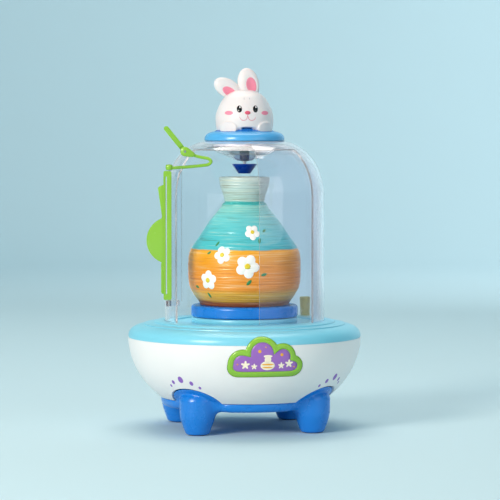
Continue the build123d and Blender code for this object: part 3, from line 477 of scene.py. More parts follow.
def wall_radius(z, outside=True):
    """The pot's radius at a height, on the outside or the inside."""
    if z > neck_z[0] * MM:
        return float(np.interp(z / MM, neck_z, neck_r) - (0 if outside else neck_wall)) * MM
    start, way = (Vector((0.1, 0, z)), Vector((-1, 0, 0))) if outside else (Vector((0, 0, z)), Vector((1, 0, 0)))
    hit = pot_tree.ray_cast(start, way)[0]
    return abs(hit.x) if hit else 0.0


def evened(values, width=5):
    """A running mean that keeps its two ends."""
    values = np.array(values)
    padded = np.pad(values, width // 2, mode="edge")
    return np.convolve(padded, np.ones(width) / width, "valid")


outer_z = np.arange(pot_base + 0.3 * MM, pot_rim - 0.25 * MM, 0.38 * MM)
outer_r = np.minimum(evened([wall_radius(z) for z in outer_z]), [wall_radius(z) for z in outer_z])
floor_z = pot_tree.ray_cast(Vector((0, 0, pot_rim)), Vector((0, 0, -1)))[0].z
inner_z = np.arange(pot_rim - 0.4 * MM, floor_z + 1.0 * MM, -2.2 * MM)
inner_r = evened([wall_radius(z, outside=False) for z in inner_z], 3)
print("pot wall rings:", len(outer_z), "outside,", len(inner_z), "inside")

# %% Finger rings
pot_steps = 224
pot_turn = np.linspace(0, 2 * np.pi, pot_steps, endpoint=False)


def finger_rings(z, chance=random.Random(5)):
    """Depth of the grooves at each height and angle, in metres."""
    depth = np.zeros((len(z), pot_steps))
    groove = pot_base + 2 * MM
    while groove < pot_rim - 3 * MM:
        deep, half = chance.uniform(0.12, 0.5) * MM, chance.uniform(0.35, 0.7) * MM
        phase, waves, drift = chance.uniform(0, 6.28), chance.choice([1, 2, 3]), chance.uniform(0.1, 0.5) * MM
        level = groove + drift * np.sin(pot_turn + phase)
        strength = deep * (0.65 + 0.35 * np.sin(waves * pot_turn + 2 * phase))
        depth += strength * np.exp(-(((z[:, None] - level) / half) ** 2))
        groove += chance.uniform(1.3, 2.6) * MM
    return depth


outside = outer_r[:, None] - finger_rings(outer_z)
pot_rings = [(np.full(pot_steps, outside[0, 0] - 1.2 * MM), pot_base)]
pot_rings += [(outside[i], z) for i, z in enumerate(outer_z)]
pot_rings += [(np.full(pot_steps, wall_radius(pot_rim - 0.3 * MM) - 1.0 * MM), pot_rim - 0.02 * MM),
              (np.full(pot_steps, inner_r[0] + 0.8 * MM), pot_rim - 0.02 * MM)]
pot_rings += [(np.full(pot_steps, r), z) for r, z in zip(inner_r, inner_z)]
pot_rings.append((np.full(pot_steps, inner_r[-1] * 0.6), floor_z))
pot_points = [(r * math.cos(a), r * math.sin(a), z) for radii, z in pot_rings for r, a in zip(radii, pot_turn)]
pot_points += [(0, 0, pot_base), (0, 0, floor_z)]
pot_faces = skin(len(pot_rings), pot_steps) + fan(len(pot_points) - 2, 0, pot_steps, -1)
pot_faces += fan(len(pot_points) - 1, (len(pot_rings) - 1) * pot_steps, pot_steps)
print("pot:", len(pot_faces), "faces")

# %% [markdown]
# The pot is painted in bands while it turns, so every brush mark runs level. Height drives one
# colour ramp, nudged by noise so that no border is ruled; its two lowest stops are painted shade,
# dark brown where the foot tucks under onto the turntable. A second noise, squeezed upright, lays
# thin level streaks that are also the glaze's relief, and paints light on them: paler on their
# raised ridges as painted highlight, darker in their hollows as painted shade. A satin clear glaze
# coats it all.

# %% Painted glaze
glaze, place = new_material("brush_painted_glazed_earthenware")
height = node(glaze, "ShaderNodeSeparateXYZ", {0: place}).outputs["Z"]
waver = node(glaze, "ShaderNodeTexNoise", {"Vector": place, "Scale": per_mm(16), "Detail": 3.0})
nudge = node(glaze, "ShaderNodeMapRange", {"Value": waver.outputs[0], "To Min": -0.9 * MM, "To Max": 0.9 * MM})
brushed_height = node(glaze, "ShaderNodeMath", {0: height, 1: nudge.outputs[0]}, operation="ADD")
share_up = node(glaze, "ShaderNodeMapRange", {"Value": brushed_height.outputs[0], "From Min": pot_base,
                                              "From Max": pot_rim})
# The two lowest stops, dark brown, are painted shade where the pot's foot tucks under onto the turntable; the rest
# are the glaze's own bands.
bands = [   # height in millimetres and the glaze there
    (111.0, "8A4526"), (114.6, "9C5A2C"), (116.4, "D29A2E"), (122.5, "E8AC33"), (127.0, "EE9426"),
    (140.0, "EA9012"), (152.0, "EC9C12"), (161.3, "F0A81C"), (162.3, "40B6BE"), (176.0, "4EBDC4"),
    (190.0, "68C8CA"), (200.6, "84CEC6"), (201.6, "35AFAF"), (203.6, "39B1AE"), (204.8, "A9C9C1"),
    (214.0, "B7CEC9"), (224.5, "C0D1CD"),
]
ramp = node(glaze, "ShaderNodeValToRGB", {"Fac": share_up.outputs[0]})
stops = ramp.color_ramp.elements
for i, (level, colour) in enumerate(bands):
    stop = stops[i] if i < 2 else stops.new(1.0)
    stop.position = (level * MM - pot_base) / (pot_rim - pot_base)
    stop.color = linear(colour)
squeezed = node(glaze, "ShaderNodeMapping", {"Vector": place, "Scale": (per_mm(34), per_mm(34), per_mm(1.1))})
streak = node(glaze, "ShaderNodeTexNoise", {"Vector": squeezed.outputs[0], "Scale": 1.0, "Detail": 4.0})
# Painted highlight and painted shade: this streak noise also lifts the bump below, so the glaze is paler on the
# raised ridges and darker in the hollows.
pale = node(glaze, "ShaderNodeMapRange", {"Value": streak.outputs[0], "From Min": 0.55, "From Max": 0.78,
                                          "To Max": 0.44})
hollow_shade_mask = node(glaze, "ShaderNodeMapRange", {"Value": streak.outputs[0], "From Min": 0.44, "From Max": 0.28,
                                          "To Max": 0.5})
# The cream is the painted highlight on the ridges; the brown below is painted shade multiplied into the hollows.
ridge_highlighted = node(glaze, "ShaderNodeMix", {0: pale.outputs[0], 6: ramp.outputs[0], 7: linear("EFE2B8")},
             data_type="RGBA")
hollow_shaded = node(glaze, "ShaderNodeMix", {0: hollow_shade_mask.outputs[0], 6: ridge_highlighted.outputs[2], 7: linear("B98A50")},
              data_type="RGBA", blend_type="MULTIPLY")
pits = node(glaze, "ShaderNodeTexNoise", {"Vector": place, "Scale": per_mm(0.9), "Detail": 3.0})
glaze_bump = node(glaze, "ShaderNodeBump", {"Height": streak.outputs[0], "Strength": 0.35, "Distance": 0.25 * MM})
glaze_pits = node(glaze, "ShaderNodeBump", {"Height": pits.outputs[0], "Strength": 0.12, "Distance": 0.1 * MM,
                                            "Normal": glaze_bump.outputs[0]})
satin = node(glaze, "ShaderNodeMapRange", {"Value": waver.outputs[0], "From Min": 0.3, "From Max": 0.7,
                                           "To Min": 0.3, "To Max": 0.46})
glaze_shader = node(glaze, "ShaderNodeBsdfPrincipled", {
    "Base Color": hollow_shaded.outputs[2], "Roughness": satin.outputs[0], "Normal": glaze_pits.outputs[0],
    "IOR": 1.5, "Coat Weight": 0.35, "Coat Roughness": 0.18})
node(glaze, "ShaderNodeOutputMaterial", {"Surface": glaze_shader.outputs[0]})
pot = piece("thrown_pot", pot_points, pot_faces, glaze, "turntable", "clay", ["clay_pot"])

# %% [markdown]
# White flowers are dabbed on in thick slip, which stands a little proud of the pot. A petal's
# outline is the far side of a circle set off from the middle, repeated five times.

# %% Slip for the flowers
def slip(name, colour, shade):
    """Thick opaque slip: matt, with dabbed brush relief."""
    made, place = new_material(name)
    dab = node(made, "ShaderNodeTexNoise", {"Vector": place, "Scale": per_mm(2.2), "Detail": 5.0})
    tone = node(made, "ShaderNodeMix", {0: dab.outputs[0], 6: linear(colour), 7: linear(shade)}, data_type="RGBA")
    bump = node(made, "ShaderNodeBump", {"Height": dab.outputs[0], "Strength": 0.3, "Distance": 0.3 * MM})
    dryness = node(made, "ShaderNodeMapRange", {"Value": dab.outputs[0], "To Min": 0.4, "To Max": 0.7})
    shader = node(made, "ShaderNodeBsdfPrincipled", {
        "Base Color": tone.outputs[2], "Roughness": dryness.outputs[0], "Normal": bump.outputs[0],
        "Coat Weight": 0.2, "Coat Roughness": 0.3})
    node(made, "ShaderNodeOutputMaterial", {"Surface": shader.outputs[0]})
    return made


white_slip = slip("white_slip", "FBFBF8", "ECECE6")
yellow_slip = slip("yellow_slip", "D9D62C", "E7B92A")
green_slip = slip("leaf_green_slip", "1E8A55", "2F7A3E")

# %% Flowers and leaves
flowers = [     # angle from the front, height, radius in mm, lean
    (0.2, 177.3, 6.6, 18), (-33.8, 157.7, 7.7, 5), (-7.5, 147.9, 10.4, 28), (-50.0, 135.2, 8.6, 50),
]
leaves = [      # angle, height, length in mm, lean
    (17.9, 178.7, 4.4, -60), (7.9, 170.0, 5.0, -20), (-43.2, 167.3, 4.8, -25), (-50.2, 159.4, 4.6, -60),
    (9.2, 140.5, 5.8, -75), (-5.9, 133.6, 6.4, -45), (-68.1, 128.6, 5.2, 75), (-52.4, 121.6, 5.4, 20),
]
petal_off, petal_r = 0.60, 0.42


def petals(radius, lean):
    """Outline of a five-petal flower."""
    def reach(angle):
        a = (angle - math.radians(lean)) % (2 * math.pi / 5) - math.pi / 5
        return radius * (petal_off * math.cos(a) + math.sqrt(petal_r**2 - (petal_off * math.sin(a)) ** 2))
    return reach


def petal_rise(lean):
    """Petals thicken towards their middles and dip between one another."""
    def rise(share, angle):
        a = (angle - math.radians(lean)) % (2 * math.pi / 5) - math.pi / 5
        crease = 0.5 + 0.5 * math.cos(5 * a / 2) ** 0.8 if share > 0.25 else 0.8
        return 0.75 * crease * math.sqrt(max(0.0, 1 - share**3))
    return rise


def leaf(length, lean):
    """Outline of a pointed leaf."""
    def reach(angle):
        a = abs((angle - math.radians(lean + 90) + math.pi) % (2 * math.pi) - math.pi)
        return 0.5 * length * 0.46 / (0.46 + 0.54 * abs(math.sin(a)) ** 1.4)
    return reach


def pot_spot(angle, z):
    """The point on the pot's outside at an angle and height."""
    out = facing_out(angle)
    return pot_tree.ray_cast(out * 0.1 + Vector((0, 0, z * MM)), -out)[0], out


laid_pot = cast_tree(pot)


def dabbed(name, marks, finish, steps, rings):
    """One piece of slip from (angle, height, outline, rise) marks on the pot."""
    parts = [laid(laid_pot, *pot_spot(angle, z), outline, rise, steps, rings, 0.5)
             for angle, z, outline, rise in marks]
    piece(name, *joined(parts), finish, "turntable", "clay")


def button_rise(share, angle):
    """The yellow middles stand up out of the petals."""
    return 0.8 + domed(0.5)(share, angle)


dabbed("slip_flowers", [(a, z, petals(r, lean), petal_rise(lean)) for a, z, r, lean in flowers], white_slip, 70, 9)
dabbed("slip_flower_centres", [(a, z, oval(0.5 * r, 0.5 * r), button_rise) for a, z, r, lean in flowers],
       yellow_slip, 24, 4)
dabbed("slip_leaves", [(a, z, leaf(long, lean), domed(0.4)) for a, z, long, lean in leaves], green_slip, 28, 4)

# %% [markdown]
# The rabbit on the lid is soft moulded vinyl: a pear-shaped head over two paws that rest on the
# button. Overlapping rounded solids are rebuilt as one even grid and relaxed, which leaves the soft
# creases of a single moulding. Its underside follows the button's dome, since it sits on it.

# %% Soft vinyl
def vinyl(name, colour, shade, roughness=0.42, soft=0.35):
    """Matt, slightly translucent toy vinyl."""
    made, place = new_material(name)
    cloudy = node(made, "ShaderNodeTexNoise", {"Vector": place, "Scale": per_mm(9), "Detail": 3.0})
    tone = node(made, "ShaderNodeMix", {0: cloudy.outputs[0], 6: linear(colour), 7: linear(shade)},
                data_type="RGBA")
    skin = node(made, "ShaderNodeTexNoise", {"Vector": place, "Scale": per_mm(0.8), "Detail": 3.0})
    bump = node(made, "ShaderNodeBump", {"Height": skin.outputs[0], "Strength": 0.06, "Distance": 0.05 * MM})
    gloss = node(made, "ShaderNodeMapRange", {"Value": cloudy.outputs[0], "To Min": roughness - 0.06,
                                              "To Max": roughness + 0.08})
    shader = node(made, "ShaderNodeBsdfPrincipled", {
        "Base Color": tone.outputs[2], "Roughness": gloss.outputs[0], "Normal": bump.outputs[0],
        "Subsurface Weight": soft, "Subsurface Radius": (0.004, 0.0025, 0.002), "IOR": 1.52})
    node(made, "ShaderNodeOutputMaterial", {"Surface": shader.outputs[0]})
    return made


white_vinyl = vinyl("white_vinyl_moulded", "E7E1E1", "E0D9DB")
pink_ink = vinyl("pink_pad_print", "F08FA6", "E87F98", soft=0.1)
rose_ink = vinyl("rose_pad_print", "D9546E", "CF4A64", 0.3, 0.1)
grey_ink = vinyl("pale_grey_pad_print", "B9B7BF", "B2B0B9", soft=0.1)
black_ink = vinyl("black_gloss_pad_print", "0B0B0D", "070708", 0.12, 0.0)

# %% Rabbit's head and paws
face_turn = -4.0
face_out = facing_out(face_turn)
face_right = Vector((0, 0, 1)).cross(face_out)
head_line = smooth_line([(24.0, 264.5), (25.2, 268.5), (25.9, 274.0), (26.1, 279.0), (25.2, 284.0), (23.2, 289.0),
                         (20.6, 294.0), (16.6, 299.0), (10.0, 302.8), (4.0, 304.1)], 40)
head = turned([(0, 264.0)] + [tuple(p) for p in head_line] + [(0, 304.3)])
paw_across, paw_forward, paw_z = 15.6, 17.4, 269.6
paws = [egg((face_right * side * paw_across + face_out * paw_forward + Vector((0, 0, paw_z)))[:], (9.2, 9.6, 6.0))
        for side in (-1, 1)]
chin_z, gap_half = 270.8, 5.4       # the chin tucks in below this height, most in the gap between the paws
button_r, button_rim, button_top = 27.0 * MM, 266.9 * MM, 272.7 * MM


def rabbit_mould():
    """The head and paws as one relaxed solid."""
    grid_points, grid_faces = relaxed_copy(joined([head] + paws), 0.6, lambda at: np.ones(len(at)), 9)
    at = np.array(grid_points)
    u = at @ np.array(face_right)
    v = at @ np.array(face_out)
    z = at[:, 2]
    chin = np.clip((chin_z * MM - z) / (2.2 * MM), 0, 1) * np.clip(v / (8 * MM), 0, 1)
    between = np.clip((gap_half * MM - abs(u)) / (2.4 * MM), 0, 1)
    pushed = chin * (0.06 + 0.36 * between)
    on_paw = np.clip((z - 0.2645) / MM, 0, 1) * sum(
        np.clip(1.25 - ((u / MM - side * paw_across) / 9.2) ** 2 - ((v / MM - paw_forward) / 10.0) ** 2
                - ((z / MM - paw_z) / 7.0) ** 2, 0, 0.25) * 4 for side in (-1, 1))
    pushed *= 1 - np.clip(on_paw, 0, 1)
    at[:, :2] -= (pushed * v)[:, None] * np.array(face_out)[:2]
    away = np.hypot(at[:, 0], at[:, 1])
    room = np.where(z < 0.2745, 27.0 * MM, 29.0 * MM)
    at[:, :2] *= np.minimum(1, room / np.maximum(away, 1e-6))[:, None]
    away = np.minimum(away, room)
    rise = button_top - button_rim
    curve = (button_r**2 + rise**2) / (2 * rise)
    seat = button_top - curve + np.sqrt(curve**2 - np.minimum(away, button_r) ** 2) + 0.04 * MM
    at[:, 2] = np.maximum(z, seat)
    return [tuple(p) for p in at], grid_faces


rabbit = piece("rabbit_head_and_paws", *rabbit_mould(), white_vinyl, "plunger", "white_abs", ["rabbit_head"])

# %% [markdown]
# An ear is a thick petal with a shallow dish in front, where the pink lining is printed.

# %% Ears
def ear(middle, half_wide, half_long, lean, dish, thick=3.6, steps=56, rings=12, lining_rings=6):
    """A rounded petal in the plane of the face. Returns the solid and its pink lining."""
    lean = math.radians(lean)
    along = face_right * -math.sin(lean) + Vector((0, 0, 1)) * math.cos(lean)
    across = face_right * math.cos(lean) + Vector((0, 0, 1)) * math.sin(lean)
    spot = face_right * middle[0] * MM + Vector((0, 0, middle[1] * MM))
    (dish_x, dish_y), (dish_wide, dish_long) = dish

    def at(x, y, front, lift=0.0):
        edge = min(1.0, math.hypot(x / half_wide, y / half_long))
        high = thick * (1 - edge**2.6) ** 0.55
        inner = math.hypot((x - dish_x) / dish_wide, (y - dish_y) / dish_long)
        sunk = 1.7 * max(0.0, 1 - inner**2) ** 1.2 if front else 0.0
        return (spot + across * x * MM + along * y * MM
                + face_out * ((high - sunk + lift) if front else -0.8 * high) * MM)

    def oval_ring(x, y, wide, long, front, lift=0.0):
        return [at(x + wide * math.cos(2 * math.pi * i / steps), y + long * math.sin(2 * math.pi * i / steps),
                   front, lift) for i in range(steps)]

    points, faces = [], []
    for front, rows, order in ((True, rings, 1), (False, rings - 1, -1)):
        first = len(points)
        points.append(at(0, 0, front))
        for k in range(1, rows + 1):
            share = math.sin(0.5 * math.pi * k / rings)
            points += oval_ring(0, 0, half_wide * share, half_long * share, front)
        faces += fan(first, first + 1, steps, order) + skin(rows, steps, first + 1, -order)
    faces += bridge(1 + (rings - 1) * steps, len(points) - steps, steps, -1)
    lining_points, lining_faces = [], []
    for lift, rim_lift, order in ((0.12, -0.05, 1), (-0.3, -0.3, -1)):
        first = len(lining_points)
        lining_points.append(at(dish_x, dish_y, True, lift))
        for k in range(1, lining_rings + 1):
            share = k / lining_rings * 0.86
            lining_points += oval_ring(dish_x, dish_y, dish_wide * share, dish_long * share, True,
                                       rim_lift if k == lining_rings else lift)
        lining_faces += fan(first, first + 1, steps, order) + skin(lining_rings, steps, first + 1, -order)
    lining_faces += bridge(1 + (lining_rings - 1) * steps, len(lining_points) - steps, steps, -1)
    return (points, faces), (lining_points, lining_faces)


ears = [ear((-15.2, 305.6), 8.2, 13.4, 62, ((-2.2, -2.6), (4.6, 8.0))),
        ear((3.6, 309.6), 9.6, 14.2, 12, ((2.0, -1.8), (5.6, 8.6)))]
piece("rabbit_ear_petals", *joined([e[0] for e in ears]), white_vinyl, "plunger", "white_abs", ["rabbit_ears"])
piece("rabbit_ear_linings", *joined([e[1] for e in ears]), pink_ink, "plunger", "white_abs")

# %% Rabbit's face
head_tree = cast_tree(rabbit)


def on_face(across, z):
    """A point in front of the head, this far to the right of its middle, at this height."""
    return face_right * across * MM + face_out * 0.02 + Vector((0, 0, z * MM))


def face_mark(across, z, outline, rise, steps=36, rings=6, sink=0.25):
    """A mark laid on the head, seen from in front."""
    return laid(head_tree, on_face(across, z), face_out, outline, rise, steps, rings, sink)


def stroke(tree, spots, width, high, outward, count=28):
    """A rounded line laid on a surface through some points."""
    line = [Vector(p) for p in smooth_line([tuple(q) for q in spots], count)]
    found = []
    for p in line:
        hit, normal = tree.ray_cast(p + outward * 0.02, -outward, 0.08)[:2]
        found.append((hit or p, (normal if normal.dot(outward) > 0 else -normal) if hit else outward))
    points, around = [], 8
    for i, (hit, normal) in enumerate(found):
        ahead = (found[min(i + 1, count - 1)][0] - found[max(i - 1, 0)][0]).normalized()
        side = ahead.cross(normal).normalized()
        taper = math.sqrt(max(0.02, 1 - abs(2 * i / (count - 1) - 1) ** 8))
        turns = [2 * math.pi * k / around for k in range(around)]
        points += [hit + (side * math.cos(turn) * width / 2 + normal * math.sin(turn) * high) * taper * MM
                   for turn in turns]
    ends = [tuple(range(around))[::-1], tuple((count - 1) * around + k for k in range(around))]
    return points, skin(count, around) + ends


eye_marks = [face_mark(side * 7.15, 286.7, oval(4.5, 6.3), domed(0.7)) for side in (-1, 1)]
eyes = piece("rabbit_eyes", *joined(eye_marks), black_ink, "plunger", "black_abs")
piece("rabbit_nose", *face_mark(0, 283.3, oval(5.0, 3.4), domed(1.0)), rose_ink, "plunger", "white_abs")
piece("rabbit_cheeks", *joined([face_mark(side * 16.1, 283.2, oval(6.75, 3.6), printed, rings=4)
                                for side in (-1, 1)]), pink_ink, "plunger", "white_abs")
mouth = [stroke(head_tree, [on_face(side * x, z) for x, z in
                            [(0.1, 281.4), (0.3, 279.6), (1.4, 277.4), (3.6, 276.5), (5.9, 277.3), (7.3, 279.8)]],
                0.42, 0.14, face_out) for side in (-1, 1)]
piece("rabbit_mouth", *joined(mouth), rose_ink, "plunger", "white_abs")
brows = [stroke(head_tree, [on_face(side * 2.3, 295.1), on_face(side * 2.5, 296.0), on_face(side * 2.3, 296.9)],
                0.5, 0.12, face_out, 10) for side in (-1, 1)]
piece("rabbit_brows", *joined(brows), grey_ink, "plunger", "white_abs")
eye_tree = cast_tree(eyes)
glints = [laid(eye_tree, on_face(side * 7.15 + 0.5, 288.3), face_out, oval(1.3, 1.6), printed, 16, 2, 0.1)
          for side in (-1, 1)]
piece("rabbit_eye_glints", *joined(glints), white_vinyl, "plunger", "white_abs")

# %% [markdown]
# The badge is a cloud: four round lobes on a flat-bottomed bar, moulded to the curve of the bowl.
# Its green frame is puffed like a cushion, and the purple plate inside is a printed sheet. The
# picture on it is a plain pot between stars, and carries no words.

# %% Bowl's side as a curve
def bezier(corners, count=40):
    """Points along one cubic Bezier curve."""
    a, b, c, d = (np.array(p, float) for p in corners)
    return [(1 - t)**3 * a + 3 * (1 - t)**2 * t * b + 3 * (1 - t) * t**2 * c + t**3 * d
            for t in np.linspace(0, 1, count)]


side_line = np.array(bezier([(76.5, 28.8), (92, 41), (104.2, 60), (105, 82.4)])
                     + bezier([(105, 82.4), (105, 88), (102, 91), (96, 94)])[1:])


def on_bowl(x, z, lift):
    """The point on the bowl's front at this x and height, this far outside it. All in mm."""
    reach = np.interp(z, side_line[:, 1], side_line[:, 0]) + lift
    return Vector((x, -math.sqrt(reach**2 - x**2), z)) * MM


# %% Cloud outline
lobes = [(-20.5, 67.0, 12.4), (-3.5, 75.4, 15.0), (14.5, 72.2, 12.2), (24.0, 64.2, 9.6)]
bar_half, bar_z, bar_r = 23.7, 64.0, 9.5
badge_middle = (0.0, 65.0)
badge_steps = 180


def in_cloud(x, z, margin):
    """Whether a point lies inside the cloud by a margin in mm."""
    if math.hypot(max(0.0, abs(x) - bar_half), z - bar_z) < bar_r - margin:
        return True
    return any(math.hypot(x - a, z - b) < r - margin for a, b, r in lobes)


def cloud_outline(margin):
    """Points round the cloud, shrunk by a margin, softened at its notches."""
    reach = []
    for i in range(badge_steps):
        angle = 2 * math.pi * i / badge_steps
        far = 45.0
        while not in_cloud(badge_middle[0] + far * math.cos(angle), badge_middle[1] + far * math.sin(angle),
                           margin):
            far -= 0.1
        reach.append(far)
    reach = np.array(reach)
    for _ in range(2):
        reach = 0.5 * reach + 0.25 * (np.roll(reach, 1) + np.roll(reach, -1))
    turn = 2 * np.pi * np.arange(badge_steps) / badge_steps
    return np.column_stack([badge_middle[0] + reach * np.cos(turn), badge_middle[1] + reach * np.sin(turn)])


# %% Badge's frame and plate
badge_proud, frame_wide = 0.66, 5.2
outer_line, inner_line = cloud_outline(0.05), cloud_outline(frame_wide)
cushion = [(t, badge_proud - 1.15 * abs(2 * t - 1) ** 3.2) for t in np.linspace(0, 1, 13)]
rows = [(0.0, -1.2)] + cushion + [(1.0, -1.2)]      # share of the way in, and height over the bowl in mm
points = [on_bowl(*(outer_line[i] * (1 - t) + inner_line[i] * t), lift)
          for t, lift in rows for i in range(badge_steps)]
piece("badge_cloud_frame", points, skin(len(rows), badge_steps, closed=True), green_abs, "base", "green_abs",
      ["badge_frame"])

points, faces, plate_rings = [], [], 10
for lift, order in ((-0.15, 1), (-1.2, -1)):
    first = len(points)
    points.append(on_bowl(*badge_middle, lift))
    for k in range(1, plate_rings + 1):
        ring = np.array(badge_middle) + (inner_line - badge_middle) * (k / plate_rings * 1.015)
        points += [on_bowl(*ring[i], lift) for i in range(badge_steps)]
    faces += fan(first, first + 1, badge_steps, order) + skin(plate_rings, badge_steps, first + 1, -order)
faces += bridge(1 + (plate_rings - 1) * badge_steps, len(points) - badge_steps, badge_steps, -1)
purple_sheet = vinyl("purple_printed_sheet", "A06BBF", "9560B6", 0.32, 0.05)
plate = piece("badge_purple_plate", points, faces, purple_sheet, "base", "purple_print", ["badge_plate"])

# %% Badge's picture
plate_tree = cast_tree(plate)
cream_ink = vinyl("cream_pad_print", "FFF3DC", "FBE9CC", soft=0.05)
amber_ink = vinyl("amber_pad_print", "F3B23A", "EBA52E", soft=0.05)
front = Vector((0, -1, 0))


def on_badge(x, z, outline, high=0.12, steps=40):
    """A printed shape on the badge's plate."""
    return laid(plate_tree, Vector((x, -120, z)) * MM, front, outline, lambda s, a: high, steps, 5, 0.2)


def star(radius):
    """Outline of a soft five-pointed star."""
    return lambda angle: radius * (0.72 + 0.28 * math.cos(5 * (angle - math.pi / 2)))


little_pot = [on_badge(1.5, 65.0, oval(12.6, 8.0)), on_badge(1.5, 70.2, oval(5.8, 6.6)),
              on_badge(1.5, 73.2, oval(8.0, 2.4))]
stars = [on_badge(x, z, star(r)) for x, z, r in
         [(-17.8, 65.6, 3.9), (-10.2, 64.2, 2.7), (13.6, 64.8, 3.0), (20.6, 66.4, 3.7)]]
piece("badge_pot_and_stars", *joined(little_pot + stars), cream_ink, "base", "purple_print")
dots = [on_badge(x, z, oval(d, d)) for x, z, d in [(-5.9, 77.6, 2.9), (13.8, 74.4, 2.7), (-0.6, 81.2, 1.2),
                                                    (-24.6, 66.2, 1.3), (25.4, 63.4, 1.3)]]
band = [on_badge(1.5, 66.0, oval(11.8, 1.4), 0.2), on_badge(1.5, 63.4, oval(10.0, 1.2), 0.2)]
piece("badge_dots_and_bands", *joined(dots + band), amber_ink, "base", "purple_print")

# %% [markdown]
# Five purple dots fan out over each front foot, like the toes of a paw. They are pad printed.

# %% Paw prints
bowl_tree = cast_tree(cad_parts["lower_bowl"])
purple_ink = vinyl("purple_pad_print", "8F62BE", "8556B4", soft=0.05)
toes = [(-10.1, 44.2, 2.2, 2.6), (-7.1, 47.7, 3.2, 3.6), (-1.3, 50.5, 5.3, 6.0), (4.9, 47.6, 3.7, 4.0),
        (9.3, 43.8, 2.5, 2.7)]      # degrees from the foot, height, width, length in mm
parts = []
for side in (-1, 1):
    for turn, z, wide, high in toes:
        out = facing_out(side * 45 + (turn if side < 0 else -turn))
        spot = bowl_tree.ray_cast(out * 0.2 + Vector((0, 0, z * MM)), -out)[0]
        parts.append(laid(bowl_tree, spot, out, oval(wide, high, side * -turn * 2.0), printed, 28, 4, 0.15))
piece("paw_prints", *joined(parts), purple_ink, "base", "purple_print")

# %% [markdown]
# The loop that hangs from the arm is one bent ribbon of green plastic with rounded edges. Its route
# is a smooth curve through a few points, and an oval section is swept along it. It starts on a
# round boss over the arm's pin and ends round the lever's knuckle.

# %% Guide loop
lid_turn = math.radians(-10.5)


def on_lid(u, v, z):
    """A point given across, towards the front and up in the turned lid's own directions, in mm."""
    return np.array([u * math.cos(lid_turn) + v * math.sin(lid_turn),
                     u * math.sin(lid_turn) - v * math.cos(lid_turn), z])


def ribbon(route, wide, thick, count=90, sides=20):
    """A closed ribbon with an oval section, wide towards the front, along a route in mm."""
    line = smooth_line([on_lid(*spot) for spot in route], count)
    along = np.gradient(line, axis=0)
    along /= np.linalg.norm(along, axis=1)[:, None]
    across = on_lid(0, 1, 0) - along * (along @ on_lid(0, 1, 0))[:, None]
    across /= np.linalg.norm(across, axis=1)[:, None]
    up = np.cross(along, across)
    points = []
    for k in range(count):
        for i in range(sides):
            a = 2 * math.pi * i / sides
            squarer = (abs(math.cos(a)) ** 3 + abs(math.sin(a)) ** 3) ** (-1 / 3)
            spot = line[k] + squarer * (across[k] * 0.5 * wide * math.cos(a) + up[k] * 0.5 * thick * math.sin(a))
            points.append(tuple(spot * MM))
    points += [tuple(line[0] * MM), tuple(line[-1] * MM)]
    faces = skin(count, sides) + fan(len(points) - 2, 0, sides, -1)
    return points, faces + fan(len(points) - 1, (count - 1) * sides, sides)


loop_route = [(-66.4, 44, 234.6), (-61.0, 43.0, 234.8), (-54.0, 40.2, 235.2), (-46.0, 38.3, 235.8),
              (-37.5, 38, 236.7), (-32.0, 38, 237.6), (-29.6, 38, 240.2), (-32.2, 38, 242.8), (-38.0, 38, 243.9),
              (-43.5, 38, 245.3), (-48.2, 38, 247.2)]
boss = turned([(0, 232.8), (2.6, 232.8), (3.1, 233.5), (3.1, 236.6), (2.5, 237.5), (0, 237.8)],
              tuple(on_lid(-66.4, 44, 0) * MM))


def cheek(front_v, back_v, steps=48):
    """A teardrop plate with soft edges, on one side of the lever's hub."""
    points = []
    for inset, v in ((0.6, front_v), (0.0, front_v - 0.5), (0.0, back_v + 0.5), (0.6, back_v)):
        for i in range(steps):
            across, up = math.cos(2 * math.pi * i / steps), math.sin(2 * math.pi * i / steps)
            u, z, r = max(((-52.5, 249.0, 4.2), (-46.0, 246.3, 2.2)),
                          key=lambda end: end[0] * across + end[1] * up + end[2])
            points.append(tuple(on_lid(u + (r - inset) * across, v, z + (r - inset) * up) * MM))
    return points, skin(4, steps) + [tuple(reversed(range(steps))), tuple(range(3 * steps, 4 * steps))]


loop_parts = [ribbon(loop_route, 4.0, 2.8), boss, cheek(41.4, 39.6), cheek(36.4, 34.6)]
piece("guide_ribbon", *joined(loop_parts), green_abs, "dome", "green_abs", ["guide_loop"])

# %% [markdown]
# The green arm's parts are already the right outline, but too sharp. A bevel rolls their edges
# over to the radius that a mould gives them. The mesh's split corners are welded first, because a
# bevel needs edges that two faces share.

# %% Rounded green edges
for name, radius in (("arm_frame", 0.7), ("profile_template", 0.35), ("finger_lever", 0.9),
                     ("power_rocker", 0.5), ("switch_bezel", 0.4), ("turntable", 0.5)):
    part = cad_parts[name]
    weld = part.modifiers.new("weld", "WELD")
    weld.merge_threshold = 0.004 * MM
    roll = part.modifiers.new("rolled edges", "BEVEL")
    roll.width = radius * MM
    roll.segments = 3
    roll.limit_method = "ANGLE"
    roll.angle_limit = math.radians(35)
    roll.harden_normals = True
    part.data.shade_smooth()
print("edges rolled on the arm, lever and switch")

# %% [markdown]
# The set is a pale blue cyclorama: a round floor that turns up into a wall, so there is no horizon
# line from any side. The wall is far away, which lets the key light fall off and darken it.

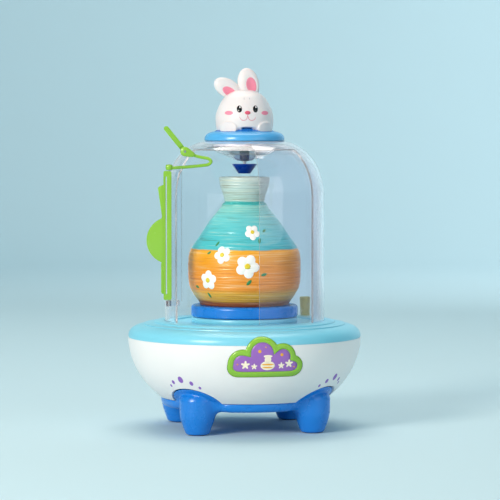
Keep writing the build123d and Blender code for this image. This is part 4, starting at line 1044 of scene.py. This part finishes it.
# %% Stage
def round_stage(floor_r, bend_r, top_z, steps=96):
    """Floor disc, quarter-round bend and wall, as rings joined into one surface."""
    outline = [(0.02, 0.0), (0.6, 0.0), (1.4, 0.0), (floor_r, 0.0)]
    outline += [(floor_r + bend_r * math.sin(a), bend_r - bend_r * math.cos(a))
                for a in np.linspace(0.08, math.pi / 2, 20)]
    outline.append((floor_r + bend_r, top_z))
    turns = [2 * math.pi * i / steps for i in range(steps)]
    points = [(r * math.cos(a), r * math.sin(a), z) for r, z in outline for a in turns] + [(0, 0, 0)]
    mesh = bpy.data.meshes.new("stage")
    mesh.from_pydata(points, [], skin(len(outline), steps) + fan(len(points) - 1, 0, steps, -1))
    mesh.shade_smooth()
    made = bpy.data.objects.new("stage", mesh)
    bpy.context.scene.collection.objects.link(made)
    return made


paper, place = new_material("pale_blue_backdrop_paper")
fibre = node(paper, "ShaderNodeTexNoise", {"Vector": place, "Scale": per_mm(3), "Detail": 4.0})
cloud = node(paper, "ShaderNodeTexNoise", {"Vector": place, "Scale": per_mm(900), "Detail": 2.0})
paper_tone = node(paper, "ShaderNodeMix", {0: cloud.outputs[0], 6: linear("C4DEE6"), 7: linear("BFDAE2")},
                  data_type="RGBA")
paper_bump = node(paper, "ShaderNodeBump", {"Height": fibre.outputs[0], "Strength": 0.05, "Distance": 0.1 * MM})
paper_shader = node(paper, "ShaderNodeBsdfPrincipled", {
    "Base Color": paper_tone.outputs[2], "Roughness": 0.75, "Normal": paper_bump.outputs[0]})
node(paper, "ShaderNodeOutputMaterial", {"Surface": paper_shader.outputs[0]})
stage = round_stage(2.6, 1.2, 4.5)
stage.data.materials.append(paper)

# %% [markdown]
# One large soft lamp stands low on the left and makes the long shadow to the right. A weaker one
# opens up the shadows, and a dim sky fills the rest.

# %% Lights
def soft_lamp(name, spot, target, size, power, colour):
    """A square area lamp that faces its target."""
    lamp = bpy.data.lights.new(name, "AREA")
    lamp.size = size
    lamp.energy = power
    lamp.color = linear(colour)[:3]
    made = bpy.data.objects.new(name, lamp)
    made.location = spot
    made.rotation_euler = (Vector(target) - Vector(spot)).to_track_quat("-Z", "Y").to_euler()
    bpy.context.scene.collection.objects.link(made)
    return made


key = soft_lamp("key", (-1.75, -1.45, 1.05), (0, 0, 0.12), 0.75, 50, "FFF2E6")
fill = soft_lamp("fill", (1.3, -2.2, 0.9), (0, 0, 0.12), 1.8, 11, "FFF5EC")
top = soft_lamp("top", (0.1, 0.6, 2.4), (0, 0, 0.1), 1.6, 33, "FFF6EC")
backdrop_lamp = soft_lamp("backdrop_lamp", (1.4, 1.3, 1.5), (2.4, 3.6, 0.9), 1.0, 30, "FFFFFF")
sky = bpy.data.worlds.new("sky")
sky.use_nodes = True
sky.node_tree.nodes["Background"].inputs["Color"].default_value = linear("D6E6F0")
sky.node_tree.nodes["Background"].inputs["Strength"].default_value = 0.35
bpy.context.scene.world = sky
bpy.context.scene.view_settings.view_transform = "Standard"
print("lamps:", [lamp.name for lamp in (key, fill, top)])
